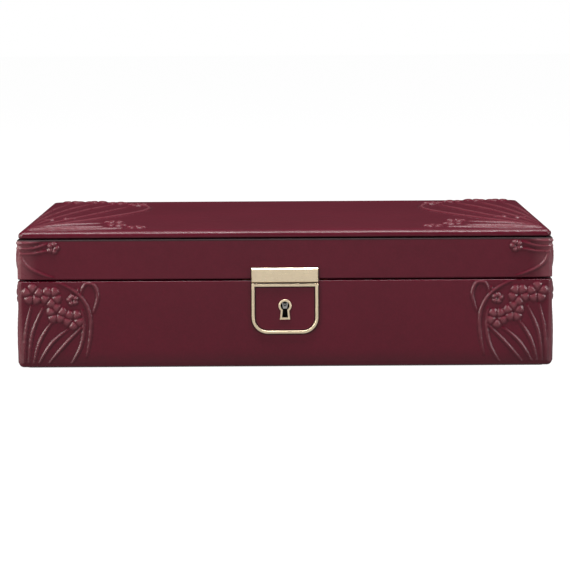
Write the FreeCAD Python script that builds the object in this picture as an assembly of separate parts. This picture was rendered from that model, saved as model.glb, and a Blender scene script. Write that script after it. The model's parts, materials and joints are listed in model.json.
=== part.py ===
"""Leather jewellery case with a hinged lid, a box lock and a lift-out tray.

Millimetres. The origin is the centre of the footprint on the surface that the case stands on.
+X is to the right, -Y is the front with the lock, +Z is up. The lid is closed and unlocked.
Every piece is a separate solid, written to parts/NAME.step.
"""

import FreeCAD
import Part
import math
import os

from FreeCAD import Vector

# ---------------------------------------------------------------- driving dimensions
CASE_WIDTH = 300.0
CASE_DEPTH = 200.0
CASE_HEIGHT = 76.5
FELT = 0.5                 # felt that the case stands on
FELT_INSET = 4.0
SEAM_Z = 49.7              # middle of the gap between base and lid, and the hinge line
SEAM_GAP = 1.0
LEATHER = 1.2
CORNER_RADIUS = 3.2        # upright corners of the leather
FOOT_RADIUS = 2.4          # bottom edge of the leather
RIM_RADIUS = 0.6           # edges of the leather at the seam
BOARD_WALL = 6.5
BOARD_FLOOR = 4.0
TURN_IN = 12.0             # leather folded under the base and over the lid board

TOP_PANEL = 3.1            # thickness of the padded panel on the lid
TOP_PANEL_INSET = 0.8
TOP_PANEL_RADIUS = 1.7
TOP_GROOVE = 0.8           # shadow line under the panel
TOP_BOARD_INSET = 3.8
TOP_BOARD_RISE = 0.7       # board inside the panel, below its foam

LINING = 1.8
COLLAR_RISE = 3.5          # lining that stands above the rim and locates the lid
COLLAR_PLAY = 0.5
FLOOR_PAD = 2.8

TRAY_Z = 28.0
TRAY_HEIGHT = 20.0
TRAY_PLAY = 1.5
TRAY_RADIUS = 4.0
TRAY_WALL = 3.0
TRAY_FLOOR = 2.4
DIVIDER = 2.4
COLUMN_X = 45.0            # the two dividers that run front to back, in base and tray
ROLL_COUNT = 8
ROLL_HEIGHT = 13.6
ROLL_GAP = 0.4
RING_BACK = 13.0           # how far back the ring rolls reach
CROSS_RIGHT_Y = 29.0       # the two cross dividers on the tray's right
DIVIDER_DROP = 1.5         # tray dividers below the tray's rim
TAB_WIDTH, TAB_THICK, TAB_RISE, TAB_DEPTH = 12.0, 0.7, 2.0, 7.0
TAB_FOLD = 1.0             # gap inside the folded ribbon
TAB_SHIFT = 60.0           # the left tab stands beside the ring rolls, in the open compartment

MIRROR_WIDTH, MIRROR_DEPTH, MIRROR_GLASS = 228.0, 128.0, 2.0
MIRROR_BORDER = 11.0
MIRROR_LIP = 3.0
MIRROR_FRAME_PROUD, MIRROR_FRAME_RADIUS, MIRROR_FRAME_SOFT = 1.0, 3.0, 0.8
CEILING = 2.0              # lined board in the lid, behind the mirror

HINGE_X = 100.0
HINGE_LENGTH = 38.0
HINGE_PROUD = 1.0          # hinge line behind the back face
KNUCKLE_RADIUS = 2.0
HINGE_PIN_RADIUS = 0.9
HINGE_LEAF = 1.1
LEAF_DEPTH = 7.6           # from the leaf's front edge back to the hinge line
LEAF_PART = 0.1            # half of the gap between the two leaves
HINGE_SCREW_STEPS = (-13.0, 0.0, 13.0)
HINGE_PIN_PROUD, HINGE_PIN_ROUND = 0.6, 0.4
KNUCKLE_SPLIT = 6.9
KNUCKLE_PLAY = 0.1
POCKET_PLAY = 0.3          # room round the knuckles in the leather

SCREW_HEAD, SCREW_SHANK, SCREW_SINK, SCREW_LENGTH = 1.4, 0.7, 0.7, 5.0
SCREW_SLOT_HALF, SCREW_SLOT_DEPTH = 0.18, 0.35

LOCK_WIDTH = 37.3          # plaque and frame
FRAME_BOTTOM, FRAME_TOP = 19.3, 47.45
FRAME_RADIUS = 9.0
FRAME_BAND = 1.6
FRAME_PROUD = 1.3
FRAME_ROUND = 0.35
PRONG_RADIUS = 0.6
PRONG_DEPTH = 2.2
INLAY = 0.5                # leather panel let in inside the frame
PLAQUE_BOTTOM, PLAQUE_TOP = 48.25, 56.25
PLAQUE_PROUD = 1.5
PLAQUE_RELIEF = 0.3        # the plaque's lower edge stands clear of the base
PLAQUE_CHAMFER = 0.45
PLAQUE_PRONGS = [(-12.0, 54.1), (12.0, 54.1)]
PLAQUE_PRONG_DEPTH = 4.5
KEY_Z = 35.0               # centre of the round part of the keyhole
KEY_RADIUS = 2.5
KEY_BOTTOM = 28.4
KEY_RIM = 1.15
KEY_NECK, KEY_FOOT = 1.25, 1.7   # half widths of the lower part of the keyhole
KEY_SLEEVE = 0.4           # the rim's sleeve is this much smaller than the rim
KEY_RIM_PROUD, KEY_RIM_ROUND = 1.1, 0.25

LOCK_CASE_HALF = 20.0
LOCK_CASE_BOTTOM = KEY_Z - 11.5
LOCK_SKIN = 1.6            # board left in front of the lock
SHEET = 0.6                # sheet metal of the lock's case
SELVAGE_HALF = 24.0
SELVAGE = 1.2
SELVAGE_SCREW_X = 22.0
STAPLE_X = 11.0
STAPLE_THICK = 1.2
STAPLE_HALF, EYE_HALF = 1.4, 0.85
STAPLE_PLAY = 0.4          # room round a staple in the selvage
STAPLE_END = KEY_Z + 8.1
EYE_BOTTOM, EYE_TOP = KEY_Z + 9.1, KEY_Z + 11.5
DRILL_PIN_RADIUS, DRILL_PIN_Z, DRILL_PIN_ROUND = 0.6, KEY_Z + 0.3, 0.25
WARD_HALF, WARD_LOW, WARD_HIGH = 2.0, KEY_Z - 2.3, KEY_Z + 2.1
WARD_BACK = 1.2            # the ward behind the lock's front
WARD_NOTCH, WARD_NOTCH_Z = 1.25, KEY_Z + 1.2
WARD_PIN_ROOM = 1.1
RIVET_X, RIVET_Z = (-12.0, 9.0), KEY_Z + 5.3
RIVET_RADIUS, RIVET_HEAD, RIVET_HEAD_THICK, RIVET_PLAY = 0.75, 1.3, 0.5, 0.1
BOLT_TRAVEL = 3.5
BOLT_THICK = 1.2
BOLT_ENDS = (-18.0, 13.0)
BOLT_BOTTOM, BOLT_TOP = KEY_Z + 2.9, KEY_Z + 7.7
FINGER_BOTTOM, FINGER_TOP, FINGER_LENGTH, FINGER_ROOT = KEY_Z + 9.4, KEY_Z + 11.2, 3.6, 2.0
FINGER_CLEAR = 0.3         # from a finger's tip to its staple, unlocked
BOLT_NOTCH_HALF, BOLT_NOTCH_DEPTH = 2.6, 3.5
BOLT_PLAY = 0.08
SPRING_HALF, SPRING_LOW, SPRING_HIGH, SPRING_THICK = 4.0, KEY_Z + 6.7, KEY_Z + 7.6, 0.2
SPRING_PLAY = 0.05

# ---------------------------------------------------------------- derived places
BASE_TOP = SEAM_Z - SEAM_GAP / 2
LID_BOTTOM = SEAM_Z + SEAM_GAP / 2
FRONT = -CASE_DEPTH / 2
BACK = CASE_DEPTH / 2
BOARD_WIDTH, BOARD_DEPTH = CASE_WIDTH - 2 * LEATHER, CASE_DEPTH - 2 * LEATHER
BOARD_RADIUS = CORNER_RADIUS - LEATHER
INSIDE_WIDTH, INSIDE_DEPTH = BOARD_WIDTH - 2 * BOARD_WALL, BOARD_DEPTH - 2 * BOARD_WALL
BOARD_FRONT = FRONT + LEATHER
WALL_INSIDE = BOARD_FRONT + BOARD_WALL            # inner face of the front wall
CARCASS_BOTTOM = FELT + LEATHER
BASE_FLOOR_Z = CARCASS_BOTTOM + BOARD_FLOOR
PANEL_BOTTOM = CASE_HEIGHT - TOP_PANEL
LID_WALL_TOP = PANEL_BOTTOM - TOP_GROOVE
LID_BOARD_TOP = LID_WALL_TOP - LEATHER
LID_CEILING_Z = LID_BOARD_TOP - BOARD_FLOOR
COLLAR_TOP = BASE_TOP + COLLAR_RISE
LINED_WIDTH, LINED_DEPTH = INSIDE_WIDTH - 2 * LINING, INSIDE_DEPTH - 2 * LINING
COMPARTMENT_Z = BASE_FLOOR_Z + FLOOR_PAD
TRAY_WIDTH, TRAY_DEPTH = LINED_WIDTH - 2 * TRAY_PLAY, LINED_DEPTH - 2 * TRAY_PLAY
TRAY_IN_X, TRAY_IN_Y = TRAY_WIDTH / 2 - TRAY_WALL, TRAY_DEPTH / 2 - TRAY_WALL
TRAY_FLOOR_Z = TRAY_Z + TRAY_FLOOR
TRAY_TOP = TRAY_Z + TRAY_HEIGHT
HINGE_Y = BACK + HINGE_PROUD

LOCK_FRONT = BOARD_FRONT + LOCK_SKIN
LOCK_BACK = WALL_INSIDE
LOCK_MID = (LOCK_FRONT + SHEET + LOCK_BACK - SHEET) / 2
SELVAGE_Y = (LOCK_FRONT - 0.4, LOCK_BACK - 0.2)
SELVAGE_SCREW_Y = sum(SELVAGE_Y) / 2
FRAME_PRONGS = [(x, z) for x in (-LOCK_WIDTH / 2 + FRAME_BAND / 2, LOCK_WIDTH / 2 - FRAME_BAND / 2)
                for z in (32.5, 43.5)]
LEAF_FRONT = HINGE_Y - LEAF_DEPTH
LEAF_BACK = HINGE_Y - KNUCKLE_RADIUS - 0.2
HINGE_SCREW_Y = (LEAF_FRONT + BACK - RIM_RADIUS) / 2 - 0.3
BASE_LEAF_TOP, LID_LEAF_BOTTOM = SEAM_Z - LEAF_PART, SEAM_Z + LEAF_PART

CLOSE = 1e-6               # two heights or depths that are the same
CUT = 1.0                  # a cutter's reach beyond the face that it starts from
parts = {}


# ---------------------------------------------------------------- shapes
def block(x0, x1, y0, y1, z0, z1):
    return Part.makeBox(x1 - x0, y1 - y0, z1 - z0, Vector(x0, y0, z0))


def edges_where(shape, test):
    """Edges whose two ends and middle all pass the test."""
    def on(edge):
        points = [v.Point for v in edge.Vertexes]
        points.append(edge.valueAt((edge.FirstParameter + edge.LastParameter) / 2))
        return all(test(p) for p in points)
    return [e for e in shape.Edges if on(e)]


def slab(width, depth, z0, z1, radius=0.0, top=0.0, bottom=0.0):
    """A centred block with rounded upright corners, and rounded top and bottom edges."""
    shape = block(-width / 2, width / 2, -depth / 2, depth / 2, z0, z1)
    if radius:
        upright = [e for e in shape.Edges if abs(e.tangentAt(e.FirstParameter).z) > 0.9]
        shape = shape.makeFillet(radius, upright)
    if top:
        shape = shape.makeFillet(top, edges_where(shape, lambda p: abs(p.z - z1) < CLOSE))
    if bottom:
        shape = shape.makeFillet(bottom, edges_where(shape, lambda p: abs(p.z - z0) < CLOSE))
    return shape


def rod(start, axis, radius, length):
    return Part.makeCylinder(radius, length, Vector(*start), Vector(*axis))


def prism_y(outline, y0, y1):
    """A closed list of edges in the XZ plane at Y = 0, pushed through from y0 to y1."""
    face = Part.Face(Part.Wire(outline))
    face.translate(Vector(0, y0, 0))
    return face.extrude(Vector(0, y1 - y0, 0))


def line(a, b):
    return Part.makeLine(Vector(a[0], 0, a[1]), Vector(b[0], 0, b[1]))


def arc(a, middle, b):
    points = [Vector(p[0], 0, p[1]) for p in (a, middle, b)]
    return Part.Arc(*points).toShape()


def keyhole(grow, y0, y1):
    """The keyhole's outline, grown by a margin on every side, as a solid from y0 to y1."""
    radius = KEY_RADIUS + grow
    neck, foot = KEY_NECK + grow, KEY_FOOT + grow
    drop = math.sqrt(radius ** 2 - neck ** 2)
    neck_z, foot_z = KEY_Z - drop, KEY_BOTTOM - grow
    return prism_y([
        arc((-neck, neck_z), (0, KEY_Z + radius), (neck, neck_z)),
        line((neck, neck_z), (foot, foot_z)),
        line((foot, foot_z), (-foot, foot_z)),
        line((-foot, foot_z), (-neck, neck_z)),
    ], y0, y1)


def shield(inset, y0, y1):
    """The lock frame's outline: square at the top, with large rounded lower corners."""
    half, top, bottom = LOCK_WIDTH / 2 - inset, FRAME_TOP - inset, FRAME_BOTTOM + inset
    r = FRAME_RADIUS - inset
    k = r * (1 - math.sqrt(0.5))
    return prism_y([
        line((-half, top), (half, top)),
        line((half, top), (half, bottom + r)),
        arc((half, bottom + r), (half - k, bottom + k), (half - r, bottom)),
        line((half - r, bottom), (-half + r, bottom)),
        arc((-half + r, bottom), (-half + k, bottom + k), (-half, bottom + r)),
        line((-half, bottom + r), (-half, top)),
    ], y0, y1)


def screw(x, y, z, up):
    """A small slotted countersunk screw whose flat head lies at z and whose shank goes along up."""
    axis = Vector(0, 0, up)
    head = Part.makeCone(SCREW_HEAD, SCREW_SHANK, SCREW_SINK, Vector(x, y, z), axis)
    shank = Part.makeCylinder(SCREW_SHANK, SCREW_LENGTH - SCREW_SINK, Vector(x, y, z + up * SCREW_SINK), axis)
    slot_end = z + up * SCREW_SLOT_DEPTH
    slot = block(x - SCREW_HEAD, x + SCREW_HEAD, y - SCREW_SLOT_HALF, y + SCREW_SLOT_HALF,
                 min(z, slot_end), max(z, slot_end))
    return head.fuse(shank).cut(slot).removeSplitter()


def screw_hole(x, y, z, up):
    axis = Vector(0, 0, up)
    head = Part.makeCone(SCREW_HEAD, SCREW_SHANK, SCREW_SINK, Vector(x, y, z), axis)
    return head.fuse(Part.makeCylinder(SCREW_SHANK, SCREW_LENGTH, Vector(x, y, z), axis))


def cut_all(shape, tools):
    for tool in tools:
        shape = shape.cut(tool)
    return shape


def keep(name, shape):
    """Files a piece, as the plain solids that it is made of."""
    solids = shape.Solids
    parts[name] = solids[0] if len(solids) == 1 else Part.makeCompound(solids)


# ---------------------------------------------------------------- holes and fixings
def prongs(places, depth):
    return [rod((x, FRONT - 0.5, z), (0, 1, 0), PRONG_RADIUS, depth + 0.5) for x, z in places]


def selvage_screws(z, up):
    return [(x, SELVAGE_SCREW_Y, z, up) for x in (-SELVAGE_SCREW_X, SELVAGE_SCREW_X)]


def leaf_screws(z, up):
    return [(side * HINGE_X + step, HINGE_SCREW_Y, z, up) for side in (-1, 1) for step in HINGE_SCREW_STEPS]


BASE_LEAF_SCREWS = leaf_screws(BASE_LEAF_TOP, -1)
LID_LEAF_SCREWS = leaf_screws(LID_LEAF_BOTTOM, 1)
LOCK_SCREWS = selvage_screws(BASE_TOP, -1)
STRIKE_SCREWS = selvage_screws(LID_BOTTOM, 1)


def hinge_pockets(z0, z1):
    """Room for the leaves between z0 and z1, and for the knuckles, at both hinges."""
    tools = []
    for side in (-1, 1):
        x0, x1 = side * HINGE_X - HINGE_LENGTH / 2, side * HINGE_X + HINGE_LENGTH / 2
        tools.append(block(x0, x1, LEAF_FRONT, HINGE_Y, z0, z1))
        tools.append(rod((x0 - POCKET_PLAY, HINGE_Y, SEAM_Z), (1, 0, 0), KNUCKLE_RADIUS + POCKET_PLAY,
                         HINGE_LENGTH + 2 * POCKET_PLAY))
    return tools


# ---------------------------------------------------------------- base
def build_base():
    mortise = block(-LOCK_CASE_HALF, LOCK_CASE_HALF, LOCK_FRONT, LOCK_BACK, LOCK_CASE_BOTTOM, BASE_TOP)
    selvage_seat = block(-SELVAGE_HALF, SELVAGE_HALF, *SELVAGE_Y, BASE_TOP - SELVAGE, BASE_TOP + CUT)
    through = [keyhole(KEY_RIM - KEY_SLEEVE, FRONT - CUT, LOCK_FRONT + 0.1)]
    holes = prongs(FRAME_PRONGS, PRONG_DEPTH)
    holes += [screw_hole(*place) for place in LOCK_SCREWS]
    holes += [screw_hole(*place) for place in BASE_LEAF_SCREWS]

    carcass = slab(BOARD_WIDTH, BOARD_DEPTH, CARCASS_BOTTOM, BASE_TOP - LEATHER, BOARD_RADIUS)
    carcass = carcass.cut(slab(INSIDE_WIDTH, INSIDE_DEPTH, BASE_FLOOR_Z, BASE_TOP))
    keep("base_carcass", cut_all(carcass, [mortise, selvage_seat] + through + holes))

    leather = slab(CASE_WIDTH, CASE_DEPTH, FELT, BASE_TOP, CORNER_RADIUS, RIM_RADIUS, FOOT_RADIUS)
    leather = leather.cut(slab(BOARD_WIDTH, BOARD_DEPTH, CARCASS_BOTTOM, BASE_TOP - LEATHER, BOARD_RADIUS))
    leather = leather.cut(slab(INSIDE_WIDTH, INSIDE_DEPTH, BASE_FLOOR_Z, BASE_TOP + CUT))
    under_width, under_depth = BOARD_WIDTH - 2 * TURN_IN, BOARD_DEPTH - 2 * TURN_IN
    leather = leather.cut(slab(under_width, under_depth, 0, CARCASS_BOTTOM))
    pockets = hinge_pockets(BASE_LEAF_TOP - HINGE_LEAF, BASE_TOP + CUT)
    keep("base_leather", cut_all(leather, [selvage_seat] + through + holes + pockets))
    filler = slab(under_width, under_depth, FELT, CARCASS_BOTTOM)
    keep("base_filler", filler)
    keep("base_felt", slab(CASE_WIDTH - 2 * FELT_INSET, CASE_DEPTH - 2 * FELT_INSET, 0, FELT, CORNER_RADIUS))

    lining = slab(INSIDE_WIDTH, INSIDE_DEPTH, BASE_FLOOR_Z, BASE_TOP)
    collar = slab(INSIDE_WIDTH - 2 * COLLAR_PLAY, INSIDE_DEPTH - 2 * COLLAR_PLAY, BASE_TOP, COLLAR_TOP)
    lining = lining.fuse(collar).cut(slab(LINED_WIDTH, LINED_DEPTH, 0, CASE_HEIGHT))
    keep("base_lining", lining.removeSplitter())
    keep("base_floor_pad", slab(LINED_WIDTH, LINED_DEPTH, BASE_FLOOR_Z, COMPARTMENT_Z))

    half_x, half_y = LINED_WIDTH / 2, LINED_DEPTH / 2
    for side, name in ((-1, "left"), (1, "right")):
        wall, inner = side * half_x, side * (half_x - TRAY_WALL)
        keep(f"base_ledge_{name}",
             block(min(wall, inner), max(wall, inner), -half_y, half_y, COMPARTMENT_Z, TRAY_Z))
        x = side * COLUMN_X
        keep(f"base_divider_{name}",
             block(x - DIVIDER / 2, x + DIVIDER / 2, -half_y, half_y, COMPARTMENT_Z, TRAY_Z))
    cross = COLUMN_X - DIVIDER / 2
    keep("base_divider_cross", block(-cross, cross, -DIVIDER / 2, DIVIDER / 2, COMPARTMENT_Z, TRAY_Z))


# ---------------------------------------------------------------- lock in the base
def build_lock_face():
    frame = shield(0, FRONT - FRAME_PROUD, FRONT)
    frame = frame.cut(shield(FRAME_BAND, FRONT - FRAME_PROUD - CUT, FRONT + CUT))
    front = edges_where(frame, lambda p: abs(p.y - FRONT + FRAME_PROUD) < CLOSE)
    frame = frame.makeFillet(FRAME_ROUND, front)
    for prong in prongs(FRAME_PRONGS, PRONG_DEPTH):
        frame = frame.fuse(prong)
    keep("lock_frame", frame)

    inlay = shield(FRAME_BAND, FRONT - INLAY, FRONT)
    keep("lock_inlay", inlay.cut(keyhole(KEY_RIM - KEY_SLEEVE, FRONT - CUT, FRONT + CUT)))

    rim_front = FRONT - KEY_RIM_PROUD
    rim = keyhole(KEY_RIM, rim_front, FRONT - INLAY)
    rim = rim.makeFillet(KEY_RIM_ROUND, edges_where(rim, lambda p: abs(p.y - rim_front) < CLOSE))
    sleeve = keyhole(KEY_RIM - KEY_SLEEVE, FRONT - INLAY, LOCK_FRONT)
    hole = keyhole(0, rim_front - CUT, LOCK_FRONT + CUT)
    keep("lock_escutcheon", rim.fuse(sleeve).cut(hole).removeSplitter())


def build_lock_works():
    top = BASE_TOP - SELVAGE
    case = block(-LOCK_CASE_HALF, LOCK_CASE_HALF, LOCK_FRONT, LOCK_BACK - SHEET, LOCK_CASE_BOTTOM, top)
    hollow = block(-LOCK_CASE_HALF + SHEET, LOCK_CASE_HALF - SHEET, LOCK_FRONT + SHEET, LOCK_BACK,
                   LOCK_CASE_BOTTOM + SHEET, top + CUT)
    keep("lock_case", case.cut(hollow).cut(keyhole(0.3, LOCK_FRONT - CUT, LOCK_FRONT + CUT)))

    y_back = LOCK_BACK - SHEET
    back = block(-LOCK_CASE_HALF, LOCK_CASE_HALF, y_back, LOCK_BACK, LOCK_CASE_BOTTOM, top)
    posts = [rod((x, LOCK_BACK, RIVET_Z), (0, -1, 0), RIVET_RADIUS, SHEET) for x in RIVET_X]
    socket = rod((0, LOCK_BACK, DRILL_PIN_Z), (0, -1, 0), DRILL_PIN_RADIUS, SHEET)
    keep("lock_backplate", cut_all(back, posts + [socket]))

    depth = LOCK_BACK - LOCK_FRONT
    pin = rod((0, LOCK_BACK, DRILL_PIN_Z), (0, -1, 0), DRILL_PIN_RADIUS, depth - 0.2)
    tip = edges_where(pin, lambda p: p.y < LOCK_FRONT + 0.5)
    keep("lock_drill_pin", pin.makeFillet(DRILL_PIN_ROUND, tip))

    # A fork whose right arm is short, notched round the pin.
    above = WARD_HIGH + CUT
    ward = block(-WARD_HALF, WARD_HALF, LOCK_FRONT + WARD_BACK, y_back, WARD_LOW, WARD_HIGH)
    ward = ward.cut(rod((0, LOCK_FRONT, WARD_NOTCH_Z), (0, 1, 0), WARD_NOTCH, depth + CUT))
    ward = ward.cut(block(-WARD_NOTCH, WARD_NOTCH, LOCK_FRONT, LOCK_BACK, WARD_NOTCH_Z, above))
    ward = ward.cut(block(0.5, WARD_HALF + CUT, LOCK_FRONT, LOCK_BACK, WARD_NOTCH_Z - 0.1, above))
    keep("lock_ward", ward.cut(rod((0, LOCK_FRONT, DRILL_PIN_Z), (0, 1, 0), WARD_PIN_ROOM, depth + CUT)))

    neck = LOCK_MID - BOLT_THICK / 2 - RIVET_PLAY
    rivets = []
    for x in RIVET_X:
        stem = rod((x, LOCK_BACK, RIVET_Z), (0, -1, 0), RIVET_RADIUS, LOCK_BACK - neck)
        head = rod((x, neck, RIVET_Z), (0, -1, 0), RIVET_HEAD, RIVET_HEAD_THICK)
        rivets.append(stem.fuse(head).removeSplitter())
    keep("lock_rivets", Part.makeCompound(rivets))

    build_bolt()

    # A thin leaf bears on the back of the bolt, so that the bolt stays where the key leaves it.
    crest = LOCK_MID + BOLT_THICK / 2 + SPRING_PLAY + SPRING_THICK
    bow = [Vector(x, y, SPRING_LOW) for x, y in ((-SPRING_HALF, y_back), (0, crest), (SPRING_HALF, y_back))]
    thick = Vector(0, SPRING_THICK, 0)
    outer = Part.Arc(*bow).toShape()
    inner = Part.Arc(*[p - thick for p in bow]).toShape()
    sides = [Part.makeLine(p, p - thick) for p in (bow[2], bow[0])]
    section = Part.Face(Part.Wire([outer, sides[0], inner, sides[1]]))
    keep("lock_spring", section.extrude(Vector(0, 0, SPRING_HIGH - SPRING_LOW)))

    plate = block(-SELVAGE_HALF, SELVAGE_HALF, *SELVAGE_Y, top, BASE_TOP)
    room = STAPLE_THICK / 2 + STAPLE_PLAY
    slots = [block(x - room, x + room, LOCK_FRONT + SHEET, LOCK_BACK - SHEET, top - CUT, BASE_TOP + CUT)
             for x in (-STAPLE_X, STAPLE_X)]
    holes = [screw_hole(*place) for place in LOCK_SCREWS]
    keep("lock_selvage", cut_all(plate, slots + holes))
    keep("lock_screws", Part.makeCompound([screw(*place) for place in LOCK_SCREWS]))


def build_bolt():
    """A bar with two fingers that pass through the staples' eyes, and a notch that the key turns in."""
    y0, y1 = LOCK_MID - BOLT_THICK / 2, LOCK_MID + BOLT_THICK / 2
    bolt = block(*BOLT_ENDS, y0, y1, BOLT_BOTTOM, BOLT_TOP)
    for staple in (-STAPLE_X, STAPLE_X):
        tip = staple - STAPLE_THICK / 2 - FINGER_CLEAR
        root = tip - FINGER_LENGTH
        bolt = bolt.fuse(block(root - FINGER_ROOT, root, y0, y1, BOLT_TOP, FINGER_TOP))
        bolt = bolt.fuse(block(root - 0.1, tip, y0, y1, FINGER_BOTTOM, FINGER_TOP))
    notch = block(-BOLT_NOTCH_HALF, BOLT_NOTCH_HALF, y0 - CUT, y1 + CUT, BOLT_BOTTOM - CUT,
                  BOLT_BOTTOM + BOLT_NOTCH_DEPTH)
    bolt = bolt.removeSplitter().cut(notch)
    r = RIVET_RADIUS + BOLT_PLAY
    for x in RIVET_X:
        slot = block(x - BOLT_TRAVEL, x, y0 - CUT, y1 + CUT, RIVET_Z - r, RIVET_Z + r)
        for end in (x - BOLT_TRAVEL, x):
            slot = slot.fuse(rod((end, y0 - CUT, RIVET_Z), (0, 1, 0), r, BOLT_THICK + 2 * CUT))
        bolt = bolt.cut(slot)
    keep("lock_bolt", bolt.removeSplitter())


# ---------------------------------------------------------------- tray
def build_tray():
    shell = slab(TRAY_WIDTH, TRAY_DEPTH, TRAY_Z, TRAY_TOP, TRAY_RADIUS)
    keep("tray_shell", shell.cut(block(-TRAY_IN_X, TRAY_IN_X, -TRAY_IN_Y, TRAY_IN_Y, TRAY_FLOOR_Z, CASE_HEIGHT)))

    top = TRAY_TOP - DIVIDER_DROP
    half = DIVIDER / 2
    for name, x in (("left", -COLUMN_X), ("right", COLUMN_X)):
        keep(f"tray_divider_{name}", block(x - half, x + half, -TRAY_IN_Y, TRAY_IN_Y, TRAY_FLOOR_Z, top))
    inner, outer = COLUMN_X - half, COLUMN_X + half
    crosses = (
        ("tray_cross_left", -TRAY_IN_X, -outer, RING_BACK + half),
        ("tray_cross_middle", -inner, inner, 0.0),
        ("tray_cross_right_front", outer, TRAY_IN_X, -CROSS_RIGHT_Y),
        ("tray_cross_right_back", outer, TRAY_IN_X, CROSS_RIGHT_Y),
    )
    for name, x0, x1, y in crosses:
        keep(name, block(x0, x1, y - half, y + half, TRAY_FLOOR_Z, top))

    # Padded rolls, side by side, grip the rings between them.
    pitch = (RING_BACK + TRAY_IN_Y) / ROLL_COUNT
    for index in range(ROLL_COUNT):
        y = -TRAY_IN_Y + pitch * (index + 0.5)
        keep(f"ring_roll_{index + 1}",
             ring_roll(y, pitch - ROLL_GAP, -TRAY_IN_X + ROLL_GAP / 2, -outer - ROLL_GAP / 2))

    for side, name in ((-1, "left"), (1, "right")):
        keep(f"tray_tab_{name}", pull_tab(side))


def ring_roll(y, width, x0, x1):
    """A bar with a half-round top that lies along X."""
    r = width / 2
    spring_z = TRAY_FLOOR_Z + ROLL_HEIGHT - r
    points = [(y - r, TRAY_FLOOR_Z), (y + r, TRAY_FLOOR_Z), (y + r, spring_z), (y - r, spring_z)]
    v = [Vector(x0, a, b) for a, b in points]
    crown = Part.Arc(v[2], Vector(x0, y, spring_z + r), v[3]).toShape()
    wire = Part.Wire([Part.makeLine(v[3], v[0]), Part.makeLine(v[0], v[1]), Part.makeLine(v[1], v[2]), crown])
    return Part.Face(wire).extrude(Vector(x1 - x0, 0, 0))


def pull_tab(side):
    """A folded ribbon glued inside the tray's end wall, with its fold standing above the wall."""
    wall = side * TRAY_IN_X
    x = [wall - side * d for d in (0, TAB_THICK, TAB_THICK + TAB_FOLD, 2 * TAB_THICK + TAB_FOLD)]
    z0, z1 = TRAY_TOP - TAB_DEPTH, TRAY_TOP + TAB_RISE
    outer = block(min(x), max(x), -TAB_WIDTH / 2, TAB_WIDTH / 2, z0, z1)
    inner = block(min(x[1:3]), max(x[1:3]), -TAB_WIDTH, TAB_WIDTH, z0 - CUT, z1 - TAB_THICK)
    tab = outer.cut(inner)
    if side < 0:
        tab.translate(Vector(0, TAB_SHIFT, 0))
    return tab


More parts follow.
